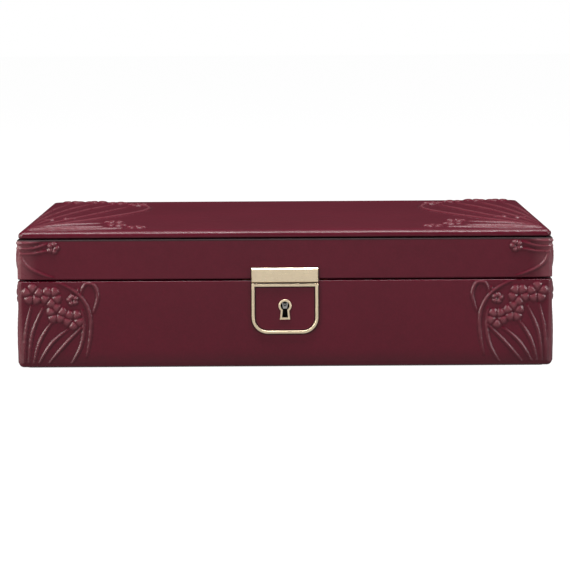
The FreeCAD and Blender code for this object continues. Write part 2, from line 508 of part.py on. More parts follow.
# ---------------------------------------------------------------- lid
def build_lid():
    holes = [screw_hole(*place) for place in STRIKE_SCREWS + LID_LEAF_SCREWS]
    holes += prongs(PLAQUE_PRONGS, PLAQUE_PRONG_DEPTH)
    seat = block(-SELVAGE_HALF, SELVAGE_HALF, *SELVAGE_Y, LID_BOTTOM - CUT, LID_BOTTOM + SELVAGE)

    carcass = slab(BOARD_WIDTH, BOARD_DEPTH, LID_BOTTOM + LEATHER, LID_BOARD_TOP, BOARD_RADIUS)
    carcass = carcass.cut(slab(INSIDE_WIDTH, INSIDE_DEPTH, LID_BOTTOM, LID_CEILING_Z))
    keep("lid_carcass", cut_all(carcass, [seat] + holes))

    leather = slab(CASE_WIDTH, CASE_DEPTH, LID_BOTTOM, LID_WALL_TOP, CORNER_RADIUS, RIM_RADIUS, RIM_RADIUS)
    leather = leather.cut(slab(BOARD_WIDTH, BOARD_DEPTH, LID_BOTTOM + LEATHER, LID_BOARD_TOP, BOARD_RADIUS))
    leather = leather.cut(slab(INSIDE_WIDTH, INSIDE_DEPTH, LID_BOTTOM - CUT, LID_CEILING_Z))
    over_width, over_depth = BOARD_WIDTH - 2 * TURN_IN, BOARD_DEPTH - 2 * TURN_IN
    leather = leather.cut(slab(over_width, over_depth, LID_CEILING_Z, LID_WALL_TOP + CUT))
    pockets = hinge_pockets(LID_BOTTOM - CUT, LID_LEAF_BOTTOM + HINGE_LEAF)
    keep("lid_leather", cut_all(leather, [seat] + holes + pockets))

    # The padded top: a board let into the folded leather, foam, and a leather skin over both.
    board_width, board_depth = CASE_WIDTH - 2 * TOP_BOARD_INSET, CASE_DEPTH - 2 * TOP_BOARD_INSET
    foam_z = PANEL_BOTTOM + TOP_BOARD_RISE
    board = slab(board_width, board_depth, LID_WALL_TOP, foam_z)
    board = board.fuse(slab(over_width, over_depth, LID_BOARD_TOP, LID_WALL_TOP)).removeSplitter()
    keep("lid_top_board", board)
    foam_top = CASE_HEIGHT - LEATHER
    keep("lid_top_foam", slab(board_width, board_depth, foam_z, foam_top))
    skin_width, skin_depth = CASE_WIDTH - 2 * TOP_PANEL_INSET, CASE_DEPTH - 2 * TOP_PANEL_INSET
    skin = slab(skin_width, skin_depth, PANEL_BOTTOM, CASE_HEIGHT, CORNER_RADIUS, TOP_PANEL_RADIUS, RIM_RADIUS)
    keep("lid_top_leather", skin.cut(slab(board_width, board_depth, PANEL_BOTTOM - CUT, foam_top)))

    lining = slab(INSIDE_WIDTH, INSIDE_DEPTH, COLLAR_TOP + COLLAR_PLAY, LID_CEILING_Z)
    keep("lid_lining", lining.cut(slab(LINED_WIDTH, LINED_DEPTH, 0, CASE_HEIGHT)))
    ceiling_z = LID_CEILING_Z - CEILING
    keep("lid_ceiling", slab(LINED_WIDTH, LINED_DEPTH, ceiling_z, LID_CEILING_Z))

    glass_z = ceiling_z - MIRROR_GLASS
    keep("lid_mirror", slab(MIRROR_WIDTH, MIRROR_DEPTH, glass_z, ceiling_z))
    grow, shrink = 2 * MIRROR_BORDER, 2 * MIRROR_LIP
    frame = slab(MIRROR_WIDTH + grow, MIRROR_DEPTH + grow, glass_z - MIRROR_FRAME_PROUD, ceiling_z,
                 MIRROR_FRAME_RADIUS, 0, MIRROR_FRAME_SOFT)
    frame = frame.cut(slab(MIRROR_WIDTH, MIRROR_DEPTH, glass_z, ceiling_z + CUT))
    frame = frame.cut(slab(MIRROR_WIDTH - shrink, MIRROR_DEPTH - shrink, 0, CASE_HEIGHT))
    keep("lid_mirror_frame", frame)


def build_lid_fittings():
    half = LOCK_WIDTH / 2
    plaque = block(-half, half, FRONT - PLAQUE_PROUD, FRONT, PLAQUE_BOTTOM, PLAQUE_TOP)
    front = edges_where(plaque, lambda p: abs(p.y - FRONT + PLAQUE_PROUD) < CLOSE)
    plaque = plaque.makeChamfer(PLAQUE_CHAMFER, front)
    plaque = plaque.cut(block(-half, half, FRONT - PLAQUE_RELIEF, FRONT, PLAQUE_BOTTOM, LID_BOTTOM + 0.2))
    for prong in prongs(PLAQUE_PRONGS, PLAQUE_PRONG_DEPTH):
        plaque = plaque.fuse(prong)
    keep("lid_plaque", plaque)

    strike = block(-SELVAGE_HALF, SELVAGE_HALF, *SELVAGE_Y, LID_BOTTOM, LID_BOTTOM + SELVAGE)
    strike = cut_all(strike, [screw_hole(*place) for place in STRIKE_SCREWS])
    for x in (-STAPLE_X, STAPLE_X):
        staple = block(x - STAPLE_THICK / 2, x + STAPLE_THICK / 2, LOCK_MID - STAPLE_HALF, LOCK_MID + STAPLE_HALF,
                       STAPLE_END, LID_BOTTOM)
        eye = block(x - STAPLE_THICK, x + STAPLE_THICK, LOCK_MID - EYE_HALF, LOCK_MID + EYE_HALF,
                    EYE_BOTTOM, EYE_TOP)
        strike = strike.fuse(staple.cut(eye))
    keep("lid_strike", strike.removeSplitter())
    keep("strike_screws", Part.makeCompound([screw(*place) for place in STRIKE_SCREWS]))


# ---------------------------------------------------------------- hinges
def hinge_leaf(side, spans, z0, z1, screws):
    """A flat leaf whose knuckles cover the spans, which are distances along X from the hinge's middle."""
    x = side * HINGE_X
    half = HINGE_LENGTH / 2
    leaf = block(x - half, x + half, LEAF_FRONT, LEAF_BACK, z0, z1)
    for a, b in spans:
        leaf = leaf.fuse(block(x + a, x + b, LEAF_BACK, HINGE_Y, z0, z1))
        leaf = leaf.fuse(rod((x + a, HINGE_Y, SEAM_Z), (1, 0, 0), KNUCKLE_RADIUS, b - a))
    bore = rod((x - half - CUT, HINGE_Y, SEAM_Z), (1, 0, 0), HINGE_PIN_RADIUS + 0.05, HINGE_LENGTH + 2 * CUT)
    return cut_all(leaf.removeSplitter(), [bore] + [screw_hole(*place) for place in screws])


def build_hinges():
    half = HINGE_LENGTH / 2
    inner = KNUCKLE_SPLIT - KNUCKLE_PLAY
    outer_spans = [(-half, -KNUCKLE_SPLIT - KNUCKLE_PLAY), (KNUCKLE_SPLIT + KNUCKLE_PLAY, half)]
    for side, name in ((-1, "left"), (1, "right")):
        keep(f"hinge_base_leaf_{name}",
             hinge_leaf(side, outer_spans, BASE_LEAF_TOP - HINGE_LEAF, BASE_LEAF_TOP, BASE_LEAF_SCREWS))
        keep(f"hinge_lid_leaf_{name}",
             hinge_leaf(side, [(-inner, inner)], LID_LEAF_BOTTOM, LID_LEAF_BOTTOM + HINGE_LEAF, LID_LEAF_SCREWS))
        x, reach = side * HINGE_X, half + HINGE_PIN_PROUD
        pin = rod((x - reach, HINGE_Y, SEAM_Z), (1, 0, 0), HINGE_PIN_RADIUS, 2 * reach)
        ends = edges_where(pin, lambda p: abs(abs(p.x - x) - reach) < CLOSE)
        keep(f"hinge_pin_{name}", pin.makeFillet(HINGE_PIN_ROUND, ends))
    keep("hinge_base_screws", Part.makeCompound([screw(*place) for place in BASE_LEAF_SCREWS]))
    keep("hinge_lid_screws", Part.makeCompound([screw(*place) for place in LID_LEAF_SCREWS]))


def main():
    build_base()
    build_lock_face()
    build_lock_works()
    build_tray()
    build_lid()
    build_lid_fittings()
    build_hinges()
    os.makedirs("parts", exist_ok=True)
    for name, shape in sorted(parts.items()):
        if not shape.isValid() or not all(s.isValid() and s.Volume > 0 for s in shape.Solids):
            print("not a valid solid:", name)
        shape.exportStep(os.path.join("parts", name + ".step"))
    print(len(parts), "pieces,", sum(len(s.Solids) for s in parts.values()), "solids")


main()
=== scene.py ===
"""Leather jewellery case: embossed leather covers, gilt lock, suede lining, ring rolls and mirror.

Metres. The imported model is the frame, and every piece takes its place from it.
"""

import json
import math

import bmesh
import bpy
import numpy as np
from mathutils import Matrix, Vector, noise


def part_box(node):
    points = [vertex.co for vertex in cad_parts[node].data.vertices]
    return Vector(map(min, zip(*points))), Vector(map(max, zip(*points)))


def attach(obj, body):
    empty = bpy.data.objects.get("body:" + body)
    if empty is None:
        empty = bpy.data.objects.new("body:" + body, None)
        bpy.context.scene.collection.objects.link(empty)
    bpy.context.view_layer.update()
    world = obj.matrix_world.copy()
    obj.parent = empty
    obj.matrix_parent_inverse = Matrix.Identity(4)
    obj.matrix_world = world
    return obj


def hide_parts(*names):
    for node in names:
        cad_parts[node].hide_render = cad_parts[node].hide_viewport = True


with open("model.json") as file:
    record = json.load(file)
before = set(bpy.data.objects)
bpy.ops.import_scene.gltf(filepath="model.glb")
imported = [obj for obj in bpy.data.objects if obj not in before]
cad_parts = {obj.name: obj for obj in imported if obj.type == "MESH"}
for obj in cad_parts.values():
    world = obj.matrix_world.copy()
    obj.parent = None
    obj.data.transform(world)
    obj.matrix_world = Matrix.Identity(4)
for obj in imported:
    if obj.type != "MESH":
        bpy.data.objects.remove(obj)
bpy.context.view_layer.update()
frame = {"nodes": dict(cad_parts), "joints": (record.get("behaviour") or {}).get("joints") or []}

bl_info = {
    "name": "Jewellery case",
    "version": (1, 0, 0),
    "blender": (4, 5, 0),
    "location": "3D View > Sidebar > Jewellery case",
    "description": "Makes the leather, metal and suede pieces of a jewellery case round its packed model",
    "category": "Add Mesh",
}

MM = 0.001

# ---------------------------------------------------------------- places taken from the frame
BASE, BASE_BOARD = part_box("base_leather"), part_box("base_carcass")
LID, LID_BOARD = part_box("lid_leather"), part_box("lid_carcass")
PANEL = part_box("lid_top_leather")
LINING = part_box("base_lining")
FLOOR_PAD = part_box("base_floor_pad")
LEATHER = BASE[1].x - BASE_BOARD[1].x
WALL = BASE[1].x - LINING[1].x
LINING_THICK = LINING[1].x - FLOOR_PAD[1].x

# ---------------------------------------------------------------- sizes that the frame's boxes don't give
CORNER_RADIUS = 3.2 * MM    # upright edges of the case
FOOT_RADIUS = 2.4 * MM      # lower edge of the base
RIM_RADIUS = 0.6 * MM       # edges along the seam and along the groove under the panel
FOLD_RADIUS = 0.3 * MM      # inner edge of the leather, where it meets the lining
TURN_IN = LEATHER + 12 * MM
PANEL_RADIUS = 1.7 * MM
PANEL_TUCK = 3.0 * MM       # how far in the panel's leather reaches below its board
LOCK_ROUND = 9.0 * MM       # lower corners of the lock's frame
POCKET_ROOM = 0.3 * MM      # between a hinge's knuckles and the leather
LINING_SOFT = 0.6 * MM      # rounding of the linings' edges
LINING_PLAY = 0.5 * MM      # the base lining is this much smaller where it enters the lid

# Spacing of the points under the embossing, and how far from the corners they are that fine.
COVER_STEP, COVER_REACH = 0.5 * MM, 46.5 * MM
PANEL_STEP, PANEL_REACH = 0.64 * MM, 69 * MM

# How strongly the leather is made lighter (rubbed wear and painted sheen) or darker (painted shade), from 0 to 1, and
# over what distance.
WEAR_AND_SHEEN_MOST, PAINTED_SHADE_MOST = 0.7, 0.85
# Lighter near the upright corners: partly rubbed wear, partly a painted sheen standing for the corner highlights.
BASE_WEAR_SHEEN, BASE_WEAR_SHEEN_REACH = 0.35, 4 * MM
LID_WEAR_SHEEN, LID_WEAR_SHEEN_REACH = 0.8, 13 * MM
FOOT_SHADE, FOOT_SHADE_REACH = 0.45, 12 * MM
GROOVE_SHADE_REACH = 1.1 * MM

PANEL_SLOPE = 16 * MM       # the panel swells over this distance from its edge
PUCKER, PUCKER_REACH = 0.16 * MM, 2.2 * MM
PAD_SLOPE = 14 * MM         # the floor pads rise over this distance from walls and dividers
POCKET_DEPTH = 1.3 * MM     # leather cut away below the lid's hinge leaves


# ---------------------------------------------------------------- settings that a user may change
def colour_setting(name, description, default):
    return bpy.props.FloatVectorProperty(
        name=name, description=description, subtype="COLOR", size=4, min=0, max=1, default=(*default, 1))


def length_setting(name, description, default, most):
    return bpy.props.FloatProperty(
        name=name, description=description, subtype="DISTANCE", unit="LENGTH", min=0, max=most, default=default)


class CaseLooks(bpy.types.PropertyGroup):
    """Colours of leather, metal and cloth, and the sizes of the embossing"""

    leather: colour_setting("Leather", "Colour of the dyed leather", (0.057, 0.0022, 0.0088))
    # The burnish colour stands for rubbed leather and for a painted sheen on the ridges and corners.
    burnish_and_sheen: colour_setting("Burnish", "Colour of the leather where it is rubbed", (0.15, 0.045, 0.055))
    gilt: colour_setting("Gilt", "Colour of the plated lock parts", (0.93, 0.77, 0.54))
    brass: colour_setting("Brass", "Colour of hinges, screws and lock plates", (0.74, 0.54, 0.28))
    steel: colour_setting("Steel", "Colour of the lock's pin, ward and bolt", (0.62, 0.61, 0.59))
    suede: colour_setting("Suede", "Colour of the lining", (0.115, 0.016, 0.028))
    ribbon: colour_setting("Ribbon", "Colour of the pull tabs", (0.18, 0.02, 0.035))
    ridge: length_setting("Ridge", "Half the width of an embossed line", 0.75 * MM, 0.002)
    petal: length_setting("Petal height", "How far an embossed petal stands out", 1.0 * MM, 0.003)
    grain: length_setting("Grain depth", "Depth of the fine grain of the leather", 0.05 * MM, 0.001)
    padding: length_setting("Padding", "How far the padding of the top swells above its edge", 1.0 * MM, 0.003)
    crown: length_setting("Crown", "How far the floor pads are domed", 0.35 * MM, 0.002)


class CaseStage(bpy.types.PropertyGroup):
    """Camera, lights and floor"""

    lens: bpy.props.FloatProperty(
        name="Lens", description="Focal length of the camera", subtype="DISTANCE_CAMERA", default=146.13)
    place: bpy.props.FloatVectorProperty(
        name="Camera place", description="Where the camera stands", subtype="TRANSLATION", unit="LENGTH",
        default=(0.00378, -1.386, 0.2024))
    down: bpy.props.FloatProperty(
        name="Down", description="How far the camera looks down", subtype="ANGLE", default=math.radians(6.906))
    left: bpy.props.FloatProperty(
        name="Left", description="How far the camera looks to the left", subtype="ANGLE",
        default=math.radians(0.1655))
    roll: bpy.props.FloatProperty(
        name="Roll", description="Turn of the camera about its line of sight", subtype="ANGLE",
        default=math.radians(-0.344))


# ---------------------------------------------------------------- meshes
MERGE = 2e-7         # points this close are one point in a modelled skin
CAD_MERGE = 2e-6     # and in a mesh from the CAD


def link(name, data):
    """A new object in the scene."""
    obj = bpy.data.objects.new(name, data)
    bpy.context.scene.collection.objects.link(obj)
    return obj


def object_from(name, vertices, faces):
    """A smooth mesh object whose place is in its mesh."""
    mesh = bpy.data.meshes.new(name)
    mesh.from_pydata([tuple(v) for v in vertices], [], [tuple(f) for f in faces])
    mesh.shade_smooth()
    return link(name, mesh)


def edit(obj, *changes):
    """Runs functions on the object's mesh as a bmesh."""
    work = bmesh.new()
    work.from_mesh(obj.data)
    for change in changes:
        change(work)
    work.to_mesh(obj.data)
    work.free()
    obj.data.update()
    return obj


def tidy(obj, distance=1e-6):
    """Merges doubled points and turns every face outwards."""
    return edit(
        obj,
        lambda work: bmesh.ops.remove_doubles(work, verts=work.verts, dist=distance),
        lambda work: bmesh.ops.dissolve_degenerate(work, edges=work.edges, dist=distance),
        lambda work: bmesh.ops.recalc_face_normals(work, faces=work.faces))


def shade(obj, degrees=35):
    """Smooth shading that stays sharp at edges above an angle."""
    obj.data.shade_smooth()
    obj.data.set_sharp_from_angle(angle=math.radians(degrees))
    return obj


def bake(obj):
    """Turns the result of the modifiers into the object's own mesh."""
    depsgraph = bpy.context.evaluated_depsgraph_get()
    mesh = bpy.data.meshes.new_from_object(obj.evaluated_get(depsgraph), depsgraph=depsgraph)
    obj.modifiers.clear()
    obj.data = mesh
    mesh.name = obj.name
    return obj


def paint(data, finish):
    """Gives a mesh one material."""
    data.materials.clear()
    data.materials.append(material(finish))


def finish_piece(obj, body, finish, slot, *nodes):
    """Gives a piece its material and body, and hides the CAD nodes that it stands for."""
    paint(obj.data, finish)
    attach(obj, body)
    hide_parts(*nodes)


def points_of(obj):
    """The mesh's points as an array."""
    found = np.empty(len(obj.data.vertices) * 3)
    obj.data.vertices.foreach_get("co", found)
    return found.reshape(-1, 3)


def move_points(obj, places):
    obj.data.vertices.foreach_set("co", np.asarray(places, np.float32).ravel())
    obj.data.update()


def store(obj, name, values):
    """Keeps a number for each point, for a material or a node tree to read."""
    attribute = obj.data.attributes.new(name, "FLOAT", "POINT")
    attribute.data.foreach_set("value", np.asarray(values, np.float32))


def arc(centre, radius, start, end, steps=6):
    """Points of an arc in a profile, with angles in degrees."""
    angles = np.radians(np.linspace(start, end, steps + 1))
    return [(centre[0] + radius * math.cos(a), centre[1] + radius * math.sin(a)) for a in angles]


def smooth(x):
    """A soft step from 0 to 1."""
    x = np.clip(x, 0, 1)
    return x * x * (3 - 2 * x)


def spaced(half, reach, fine, coarse):
    """Places from -half to half, fine within reach of both ends and coarse between them."""
    reach = min(reach, half)
    near = np.linspace(0, reach, max(1, round(reach / fine)) + 1)
    middle = 2 * (half - reach)
    between = np.linspace(0, middle, max(1, round(middle / coarse)) + 1)[1:-1]
    return np.unique(np.concatenate([near - half, reach - half + between, half - near]).round(9))


def bands(count, rings, first=0):
    """Faces that join each closed ring of points to the next ring."""
    return [(a + i, a + (i + 1) % count, a + count + (i + 1) % count, a + count + i)
            for a in range(first, first + (rings - 1) * count, count) for i in range(count)]


def tube(name, rings, distance=1e-6):
    """A closed skin through rings of points, with a flat face at each end."""
    count, total = len(rings[0]), len(rings) * len(rings[0])
    faces = bands(count, len(rings)) + [range(count), range(total - count, total)]
    return tidy(object_from(name, [place for ring in rings for place in ring], faces), distance)


class Rim:
    """A rounded rectangle that a profile is carried round. Its sides are fine within reach of the corners."""

    def __init__(self, low, high, radius, coarse=6 * MM, steps=8, reach=(0.0, 0.0), fine=1.0):
        self.middle = np.array([low[0] + high[0], low[1] + high[1]]) / 2
        self.half = np.array([high[0] - low[0], high[1] - low[1]]) / 2
        self.radius = radius
        self.along_x = spaced(self.half[0] - radius, reach[0], fine, coarse)
        self.along_y = spaced(self.half[1] - radius, reach[1], fine, coarse)
        sides = (((1, 0), (0, -1), self.along_x), ((0, 1), (1, 0), self.along_y),
                 ((-1, 0), (0, 1), self.along_x), ((0, -1), (-1, 0), self.along_y))
        seats, outward = [], []
        for forward, out, places in sides:
            forward, out = np.array(forward), np.array(out)
            edge = out * (self.half - radius)
            seats += [edge + forward * t for t in places]
            outward += [out] * len(places)
            turns = np.linspace(0, math.pi / 2, steps + 1)[1:-1]
            seats += [edge + forward * (self.half - radius)] * len(turns)
            outward += [out * math.cos(a) + forward * math.sin(a) for a in turns]
        self.seats, self.outward = np.array(seats, float), np.array(outward, float)

    def ring(self, inward, z):
        """The rim's points moved inwards, at a height."""
        most = self.half - max(inward, self.radius)
        places = np.clip(self.seats, -most, most) + max(self.radius - inward, 0) * self.outward + self.middle
        return np.column_stack([places, np.full(len(places), z)])


def swept(name, rim, profile, capped=False):
    """A closed skin: a profile of (inward distance, height) carried round the rim, or capped at both ends."""
    rings = [rim.ring(d, z) for d, z in profile]
    if capped:
        return tube(name, rings, MERGE)
    count, end = len(rim.seats), (len(rings) - 1) * len(rim.seats)
    faces = bands(count, len(rings)) + [(end + i, end + (i + 1) % count, (i + 1) % count, i) for i in range(count)]
    return tidy(object_from(name, np.concatenate(rings), faces), MERGE)


def block(low, high):
    """A plain box, to cut with or to bevel."""
    corners = [(x, y, z) for x in (low[0], high[0]) for y in (low[1], high[1]) for z in (low[2], high[2])]
    faces = [(0, 1, 3, 2), (4, 6, 7, 5), (0, 4, 5, 1), (2, 3, 7, 6), (0, 2, 6, 4), (1, 5, 7, 3)]
    return object_from("block", corners, faces)


def rod(a, b, radius):
    """A plain cylinder along X from a to b, to cut with."""
    circle = arc((0, 0), radius, 0, 360, 48)[:-1]
    return tube("rod", [[(end[0], end[1] + y, end[2] + z) for y, z in circle] for end in (a, b)])


def prism(outline, y0, y1):
    """A closed outline of (x, z) pushed through from y0 to y1."""
    return tube("prism", [[(x, y, z) for x, z in outline] for y in (y0, y1)])


def cut(obj, *cutters):
    """Takes each cutter away from the object."""
    for cutter in cutters:
        modifier = obj.modifiers.new("cut", "BOOLEAN")
        modifier.operation, modifier.solver, modifier.object = "DIFFERENCE", "MANIFOLD", cutter
    bake(obj)
    for cutter in cutters:
        bpy.data.objects.remove(cutter)
    return obj


def bevelled(obj, width, segments=2, degrees=30):
    """Rounds the sharp edges and shades the rest flat."""
    modifier = obj.modifiers.new("edges", "BEVEL")
    modifier.width, modifier.segments, modifier.limit_method = width, segments, "ANGLE"
    modifier.angle_limit = math.radians(degrees)
    shade(bake(obj), 50)
    modifier = obj.modifiers.new("normals", "WEIGHTED_NORMAL")
    modifier.keep_sharp, modifier.weight = True, 100
    return bake(obj)


def dressed(node, bevel=0.1 * MM, segments=2):
    """A copy of a CAD node with its loose triangles joined, its flat faces made whole and its edges rounded."""
    obj = link(node + "_dressed", frame["nodes"][node].data.copy())
    edit(
        obj,
        lambda work: bmesh.ops.remove_doubles(work, verts=work.verts, dist=CAD_MERGE),
        lambda work: bmesh.ops.dissolve_limit(
            work, angle_limit=math.radians(0.5), verts=work.verts, edges=work.edges))
    return bevelled(obj, bevel, segments) if bevel else shade(obj, 30)


def wrapped(name, low, high, radius, lean=0.12 * MM, seed=0):
    """A board wrapped in suede: rounded edges, and faces that are not quite flat."""
    size = high - low

    def divide(work):
        for axis in range(3):
            normal = Vector([float(axis == a) for a in range(3)])
            pieces = min(40, int(size[axis] / (4 * MM)))
            for k in range(1, pieces):
                bmesh.ops.bisect_plane(work, geom=work.verts[:] + work.edges[:] + work.faces[:], dist=1e-7,
                                       plane_co=low + normal * size[axis] * k / pieces, plane_no=normal)

    obj = edit(block(low, high), divide)
    obj.name = name
    modifier = obj.modifiers.new("edges", "BEVEL")
    modifier.width, modifier.segments, modifier.limit_method = radius, 4, "ANGLE"
    bake(obj)
    places = points_of(obj)
    normals = np.array([v.normal for v in obj.data.vertices])
    swell = np.array([noise.noise(Vector(p) * 90 + Vector((seed, 0, 0))) for p in places])
    move_points(obj, places + normals * (swell * lean)[:, None])
    return shade(obj, 60)


def wrap_boards(nodes, body, sink, radius, seed):
    """Wraps CAD boards in suede, each reaching down into the lining that it stands on."""
    for index, node in enumerate(nodes):
        low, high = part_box(node)
        low.z -= sink
        board = wrapped(node + "_suede", low, high, radius, 0.1 * MM, seed + index)
        finish_piece(board, body, "suede", "lining", node)


# ---------------------------------------------------------------- node trees
def add(tree, kind, inputs=None, **settings):
    """A node with its settings, and with each input given a value or linked to a socket."""
    node = tree.nodes.new(kind)
    for key, value in settings.items():
        setattr(node, key, value)
    for key, value in (inputs or {}).items():
        if isinstance(value, bpy.types.NodeSocket):
            tree.links.new(value, node.inputs[key])
        else:
            node.inputs[key].default_value = value
    return node


def geometry_tree(name, sockets):
    """A new geometry tree with named inputs: returns the tree, its input node and a function that ends it."""
    tree = bpy.data.node_groups.new(name, "GeometryNodeTree")
    tree.interface.new_socket("Geometry", in_out="INPUT", socket_type="NodeSocketGeometry")
    for label, kind, default in sockets:
        socket = tree.interface.new_socket(label, in_out="INPUT", socket_type="NodeSocket" + kind)
        if default is not None:
            socket.default_value = default
    tree.interface.new_socket("Material", in_out="INPUT", socket_type="NodeSocketMaterial")
    tree.interface.new_socket("Geometry", in_out="OUTPUT", socket_type="NodeSocketGeometry")
    given = tree.nodes.new("NodeGroupInput").outputs

    def end(geometry):
        real = add(tree, "GeometryNodeRealizeInstances", {0: geometry})
        painted = add(tree, "GeometryNodeSetMaterial", {"Geometry": real.outputs[0], "Material": given["Material"]})
        add(tree, "NodeGroupOutput", {0: painted.outputs[0]})
        return tree

    return tree, given, end


def grow(obj, tree, **values):
    """Runs a geometry tree on the object and keeps the result as its mesh."""
    modifier = obj.modifiers.new(tree.name, "NODES")
    modifier.node_group = tree
    for item in tree.interface.items_tree:
        if item.in_out == "INPUT" and item.name in values:
            modifier[item.identifier] = values[item.name]
    return bake(obj)


def maths(tree, operation, *values, clamp=False):
    node = add(tree, "ShaderNodeMath", dict(enumerate(values)), operation=operation, use_clamp=clamp)
    return node.outputs[0]


def split(tree, vector):
    return add(tree, "ShaderNodeSeparateXYZ", {0: vector}).outputs


def joined(tree, x=0.0, y=0.0, z=0.0):
    return add(tree, "ShaderNodeCombineXYZ", {0: x, 1: y, 2: z}).outputs[0]


def stored(tree, name):
    """A number that was stored for each point."""
    return add(tree, "GeometryNodeInputNamedAttribute", {"Name": name}, data_type="FLOAT").outputs[0]


def object_in(tree, socket, **more):
    return add(tree, "GeometryNodeObjectInfo", {"Object": socket, **more}).outputs["Geometry"]


def copies(tree, points, instance, **more):
    """A copy on each point."""
    return add(tree, "GeometryNodeInstanceOnPoints", {"Points": points, "Instance": instance, **more}).outputs[0]


# ---------------------------------------------------------------- materials
def principled(name, constants):
    """A material whose shader has these plain values on its own sockets."""
    material = bpy.data.materials.new(name)
    material.use_nodes = True
    tree = material.node_tree
    shader = tree.nodes["Principled BSDF"]
    for key, value in constants.items():
        shader.inputs[key].default_value = value
    place = add(tree, "ShaderNodeTexCoord").outputs["Object"]
    return material, tree, shader, place


def texture(tree, place, scale, detail=2.0, rough=0.5, stretch=None):
    """Noise, stretched along the axes if asked."""
    if stretch:
        place = add(tree, "ShaderNodeMapping", {"Vector": place, "Scale": stretch}).outputs[0]
    return add(tree, "ShaderNodeTexNoise",
               {"Vector": place, "Scale": scale, "Detail": detail, "Roughness": rough}).outputs[0]


def ranged(tree, value, low, high, to_low=0.0, to_high=1.0):
    """A value carried from one range to another."""
    return add(tree, "ShaderNodeMapRange", {"Value": value, "From Min": low, "From Max": high,
                                            "To Min": to_low, "To Max": to_high}).outputs[0]


def mixed(tree, factor, a, b, blend="MIX"):
    return add(tree, "ShaderNodeMix", {0: factor, 6: a, 7: b}, data_type="RGBA", blend_type=blend).outputs[2]


def surface(shader, colour, roughness, height=None, depth=0.0, strength=1.0):
    """Links a colour, a roughness and a fine relief to the shader."""
    links = {"Base Color": colour, "Roughness": roughness}
    if height:
        links["Normal"] = add(shader.id_data, "ShaderNodeBump", {
            "Height": height, "Distance": depth, "Strength": strength}).outputs[0]
    for key, value in links.items():
        shader.id_data.links.new(value, shader.inputs[key])


def tinted(colour, factor):
    return (*[min(1.0, c * factor) for c in colour[:3]], 1)


def painted_outline_shade(tree, place, low, high, foot_radius, spread):
    """One on the outline of a box in the front face, falling to nothing within spread of it."""
    at = split(tree, place)
    centre, half = (low + high) / 2, (high - low) / 2
    below = maths(tree, "LESS_THAN", at[2], centre.z)
    radius = maths(tree, "MULTIPLY", below, foot_radius)
    out = []
    for axis in (0, 2):
        reach = maths(tree, "ABSOLUTE", maths(tree, "SUBTRACT", at[axis], centre[axis]))
        out.append(maths(tree, "ADD", maths(tree, "SUBTRACT", reach, half[axis]), radius))
    beyond = [maths(tree, "MAXIMUM", value, 0.0) for value in out]
    corner = maths(tree, "SQRT", maths(tree, "ADD", *[maths(tree, "MULTIPLY", v, v) for v in beyond]))
    inside = maths(tree, "MINIMUM", maths(tree, "MAXIMUM", *out), 0.0)
    distance = maths(tree, "SUBTRACT", maths(tree, "ADD", corner, inside), radius)
    return ranged(tree, maths(tree, "ABSOLUTE", distance), spread * 0.35, spread, 1.0, 0.0)


def painted_fitting_shade(tree, place):
    """Painted shade along the edges of the plaque and of the lock's frame, where the fittings shade the leather."""
    plaque, outer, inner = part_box("lid_plaque"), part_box("lock_frame"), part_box("lock_inlay")
    rounds = (0.0, LOCK_ROUND, LOCK_ROUND - (inner[0].x - outer[0].x))
    marks = [painted_outline_shade(tree, place, low, high, radius, 0.95 * MM)
             for (low, high), radius in zip((plaque, outer, inner), rounds)]
    near = maths(tree, "LESS_THAN", split(tree, place)[1], BASE[0].y + 2 * MM)
    return maths(tree, "MULTIPLY", maths(tree, "MAXIMUM", maths(tree, "MAXIMUM", *marks[:2]), marks[2]), near)


def leather_material(looks):
    """Dyed and waxed calf leather: fine pebbled grain, uneven dye, lighter where it is rubbed or given a painted sheen,
    and darker with painted shade.
    """
    material, tree, shader, place = principled(
        "burgundy_leather", {"Specular IOR Level": 0.3})
    pebbles = add(tree, "ShaderNodeTexVoronoi", {"Vector": place, "Scale": 1000.0, "Randomness": 1.0},
                  feature="SMOOTH_F1").outputs["Distance"]
    fine = texture(tree, place, 2600.0, 3.0)
    broad = texture(tree, place, 14.0, 4.0, 0.6)
    medium = texture(tree, place, 160.0, 3.0, 0.6)
    dye = mixed(tree, ranged(tree, broad, 0.3, 0.7), tinted(looks.leather, 0.86), tinted(looks.leather, 1.14))
    dye = mixed(tree, ranged(tree, medium, 0.35, 0.75, 0.0, 0.35), dye, tinted(looks.leather, 0.72))
    pores = ranged(tree, pebbles, 0.0, 0.75, 0.0, 0.4)
    dye = mixed(tree, pores, dye, tinted(looks.leather, 1.5))
    # Wear and painted sheen: lighter on the ridges and near the upright corners.
    rubbed = add(tree, "ShaderNodeAttribute", attribute_name="rubbed").outputs["Fac"]
    # Painted shade from the embossing's moats, the foot of the walls and the groove under the panel.
    sunk = add(tree, "ShaderNodeAttribute", attribute_name="sunk").outputs["Fac"]
    # Painted shade round the lock's fittings, joined with the shade above into one dark mask.
    dark = maths(tree, "MAXIMUM", sunk, maths(tree, "MULTIPLY", painted_fitting_shade(tree, place), 0.9))
    dye = mixed(tree, dark, dye, tinted(looks.leather, 0.2))
    # Burnish colour for rubbed wear and painted sheen.
    rub_and_sheen = maths(tree, "MULTIPLY", rubbed, ranged(tree, medium, 0.3, 0.6, 0.6, 1.0), clamp=True)
    dye = mixed(tree, rub_and_sheen, dye, looks.burnish_and_sheen)
    gloss = ranged(tree, medium, 0.3, 0.7, 0.28, 0.33)
    gloss = maths(tree, "SUBTRACT", gloss, maths(tree, "MULTIPLY", rub_and_sheen, 0.04))
    # Rougher where the shade is painted, so that no highlight shows there.
    gloss = maths(tree, "MULTIPLY_ADD", sunk, 0.4, gloss)
    height = maths(tree, "ADD", maths(tree, "MULTIPLY", pebbles, -0.7), maths(tree, "MULTIPLY", fine, 0.5))
    surface(shader, dye, gloss, height, looks.grain, 0.3)
    return material


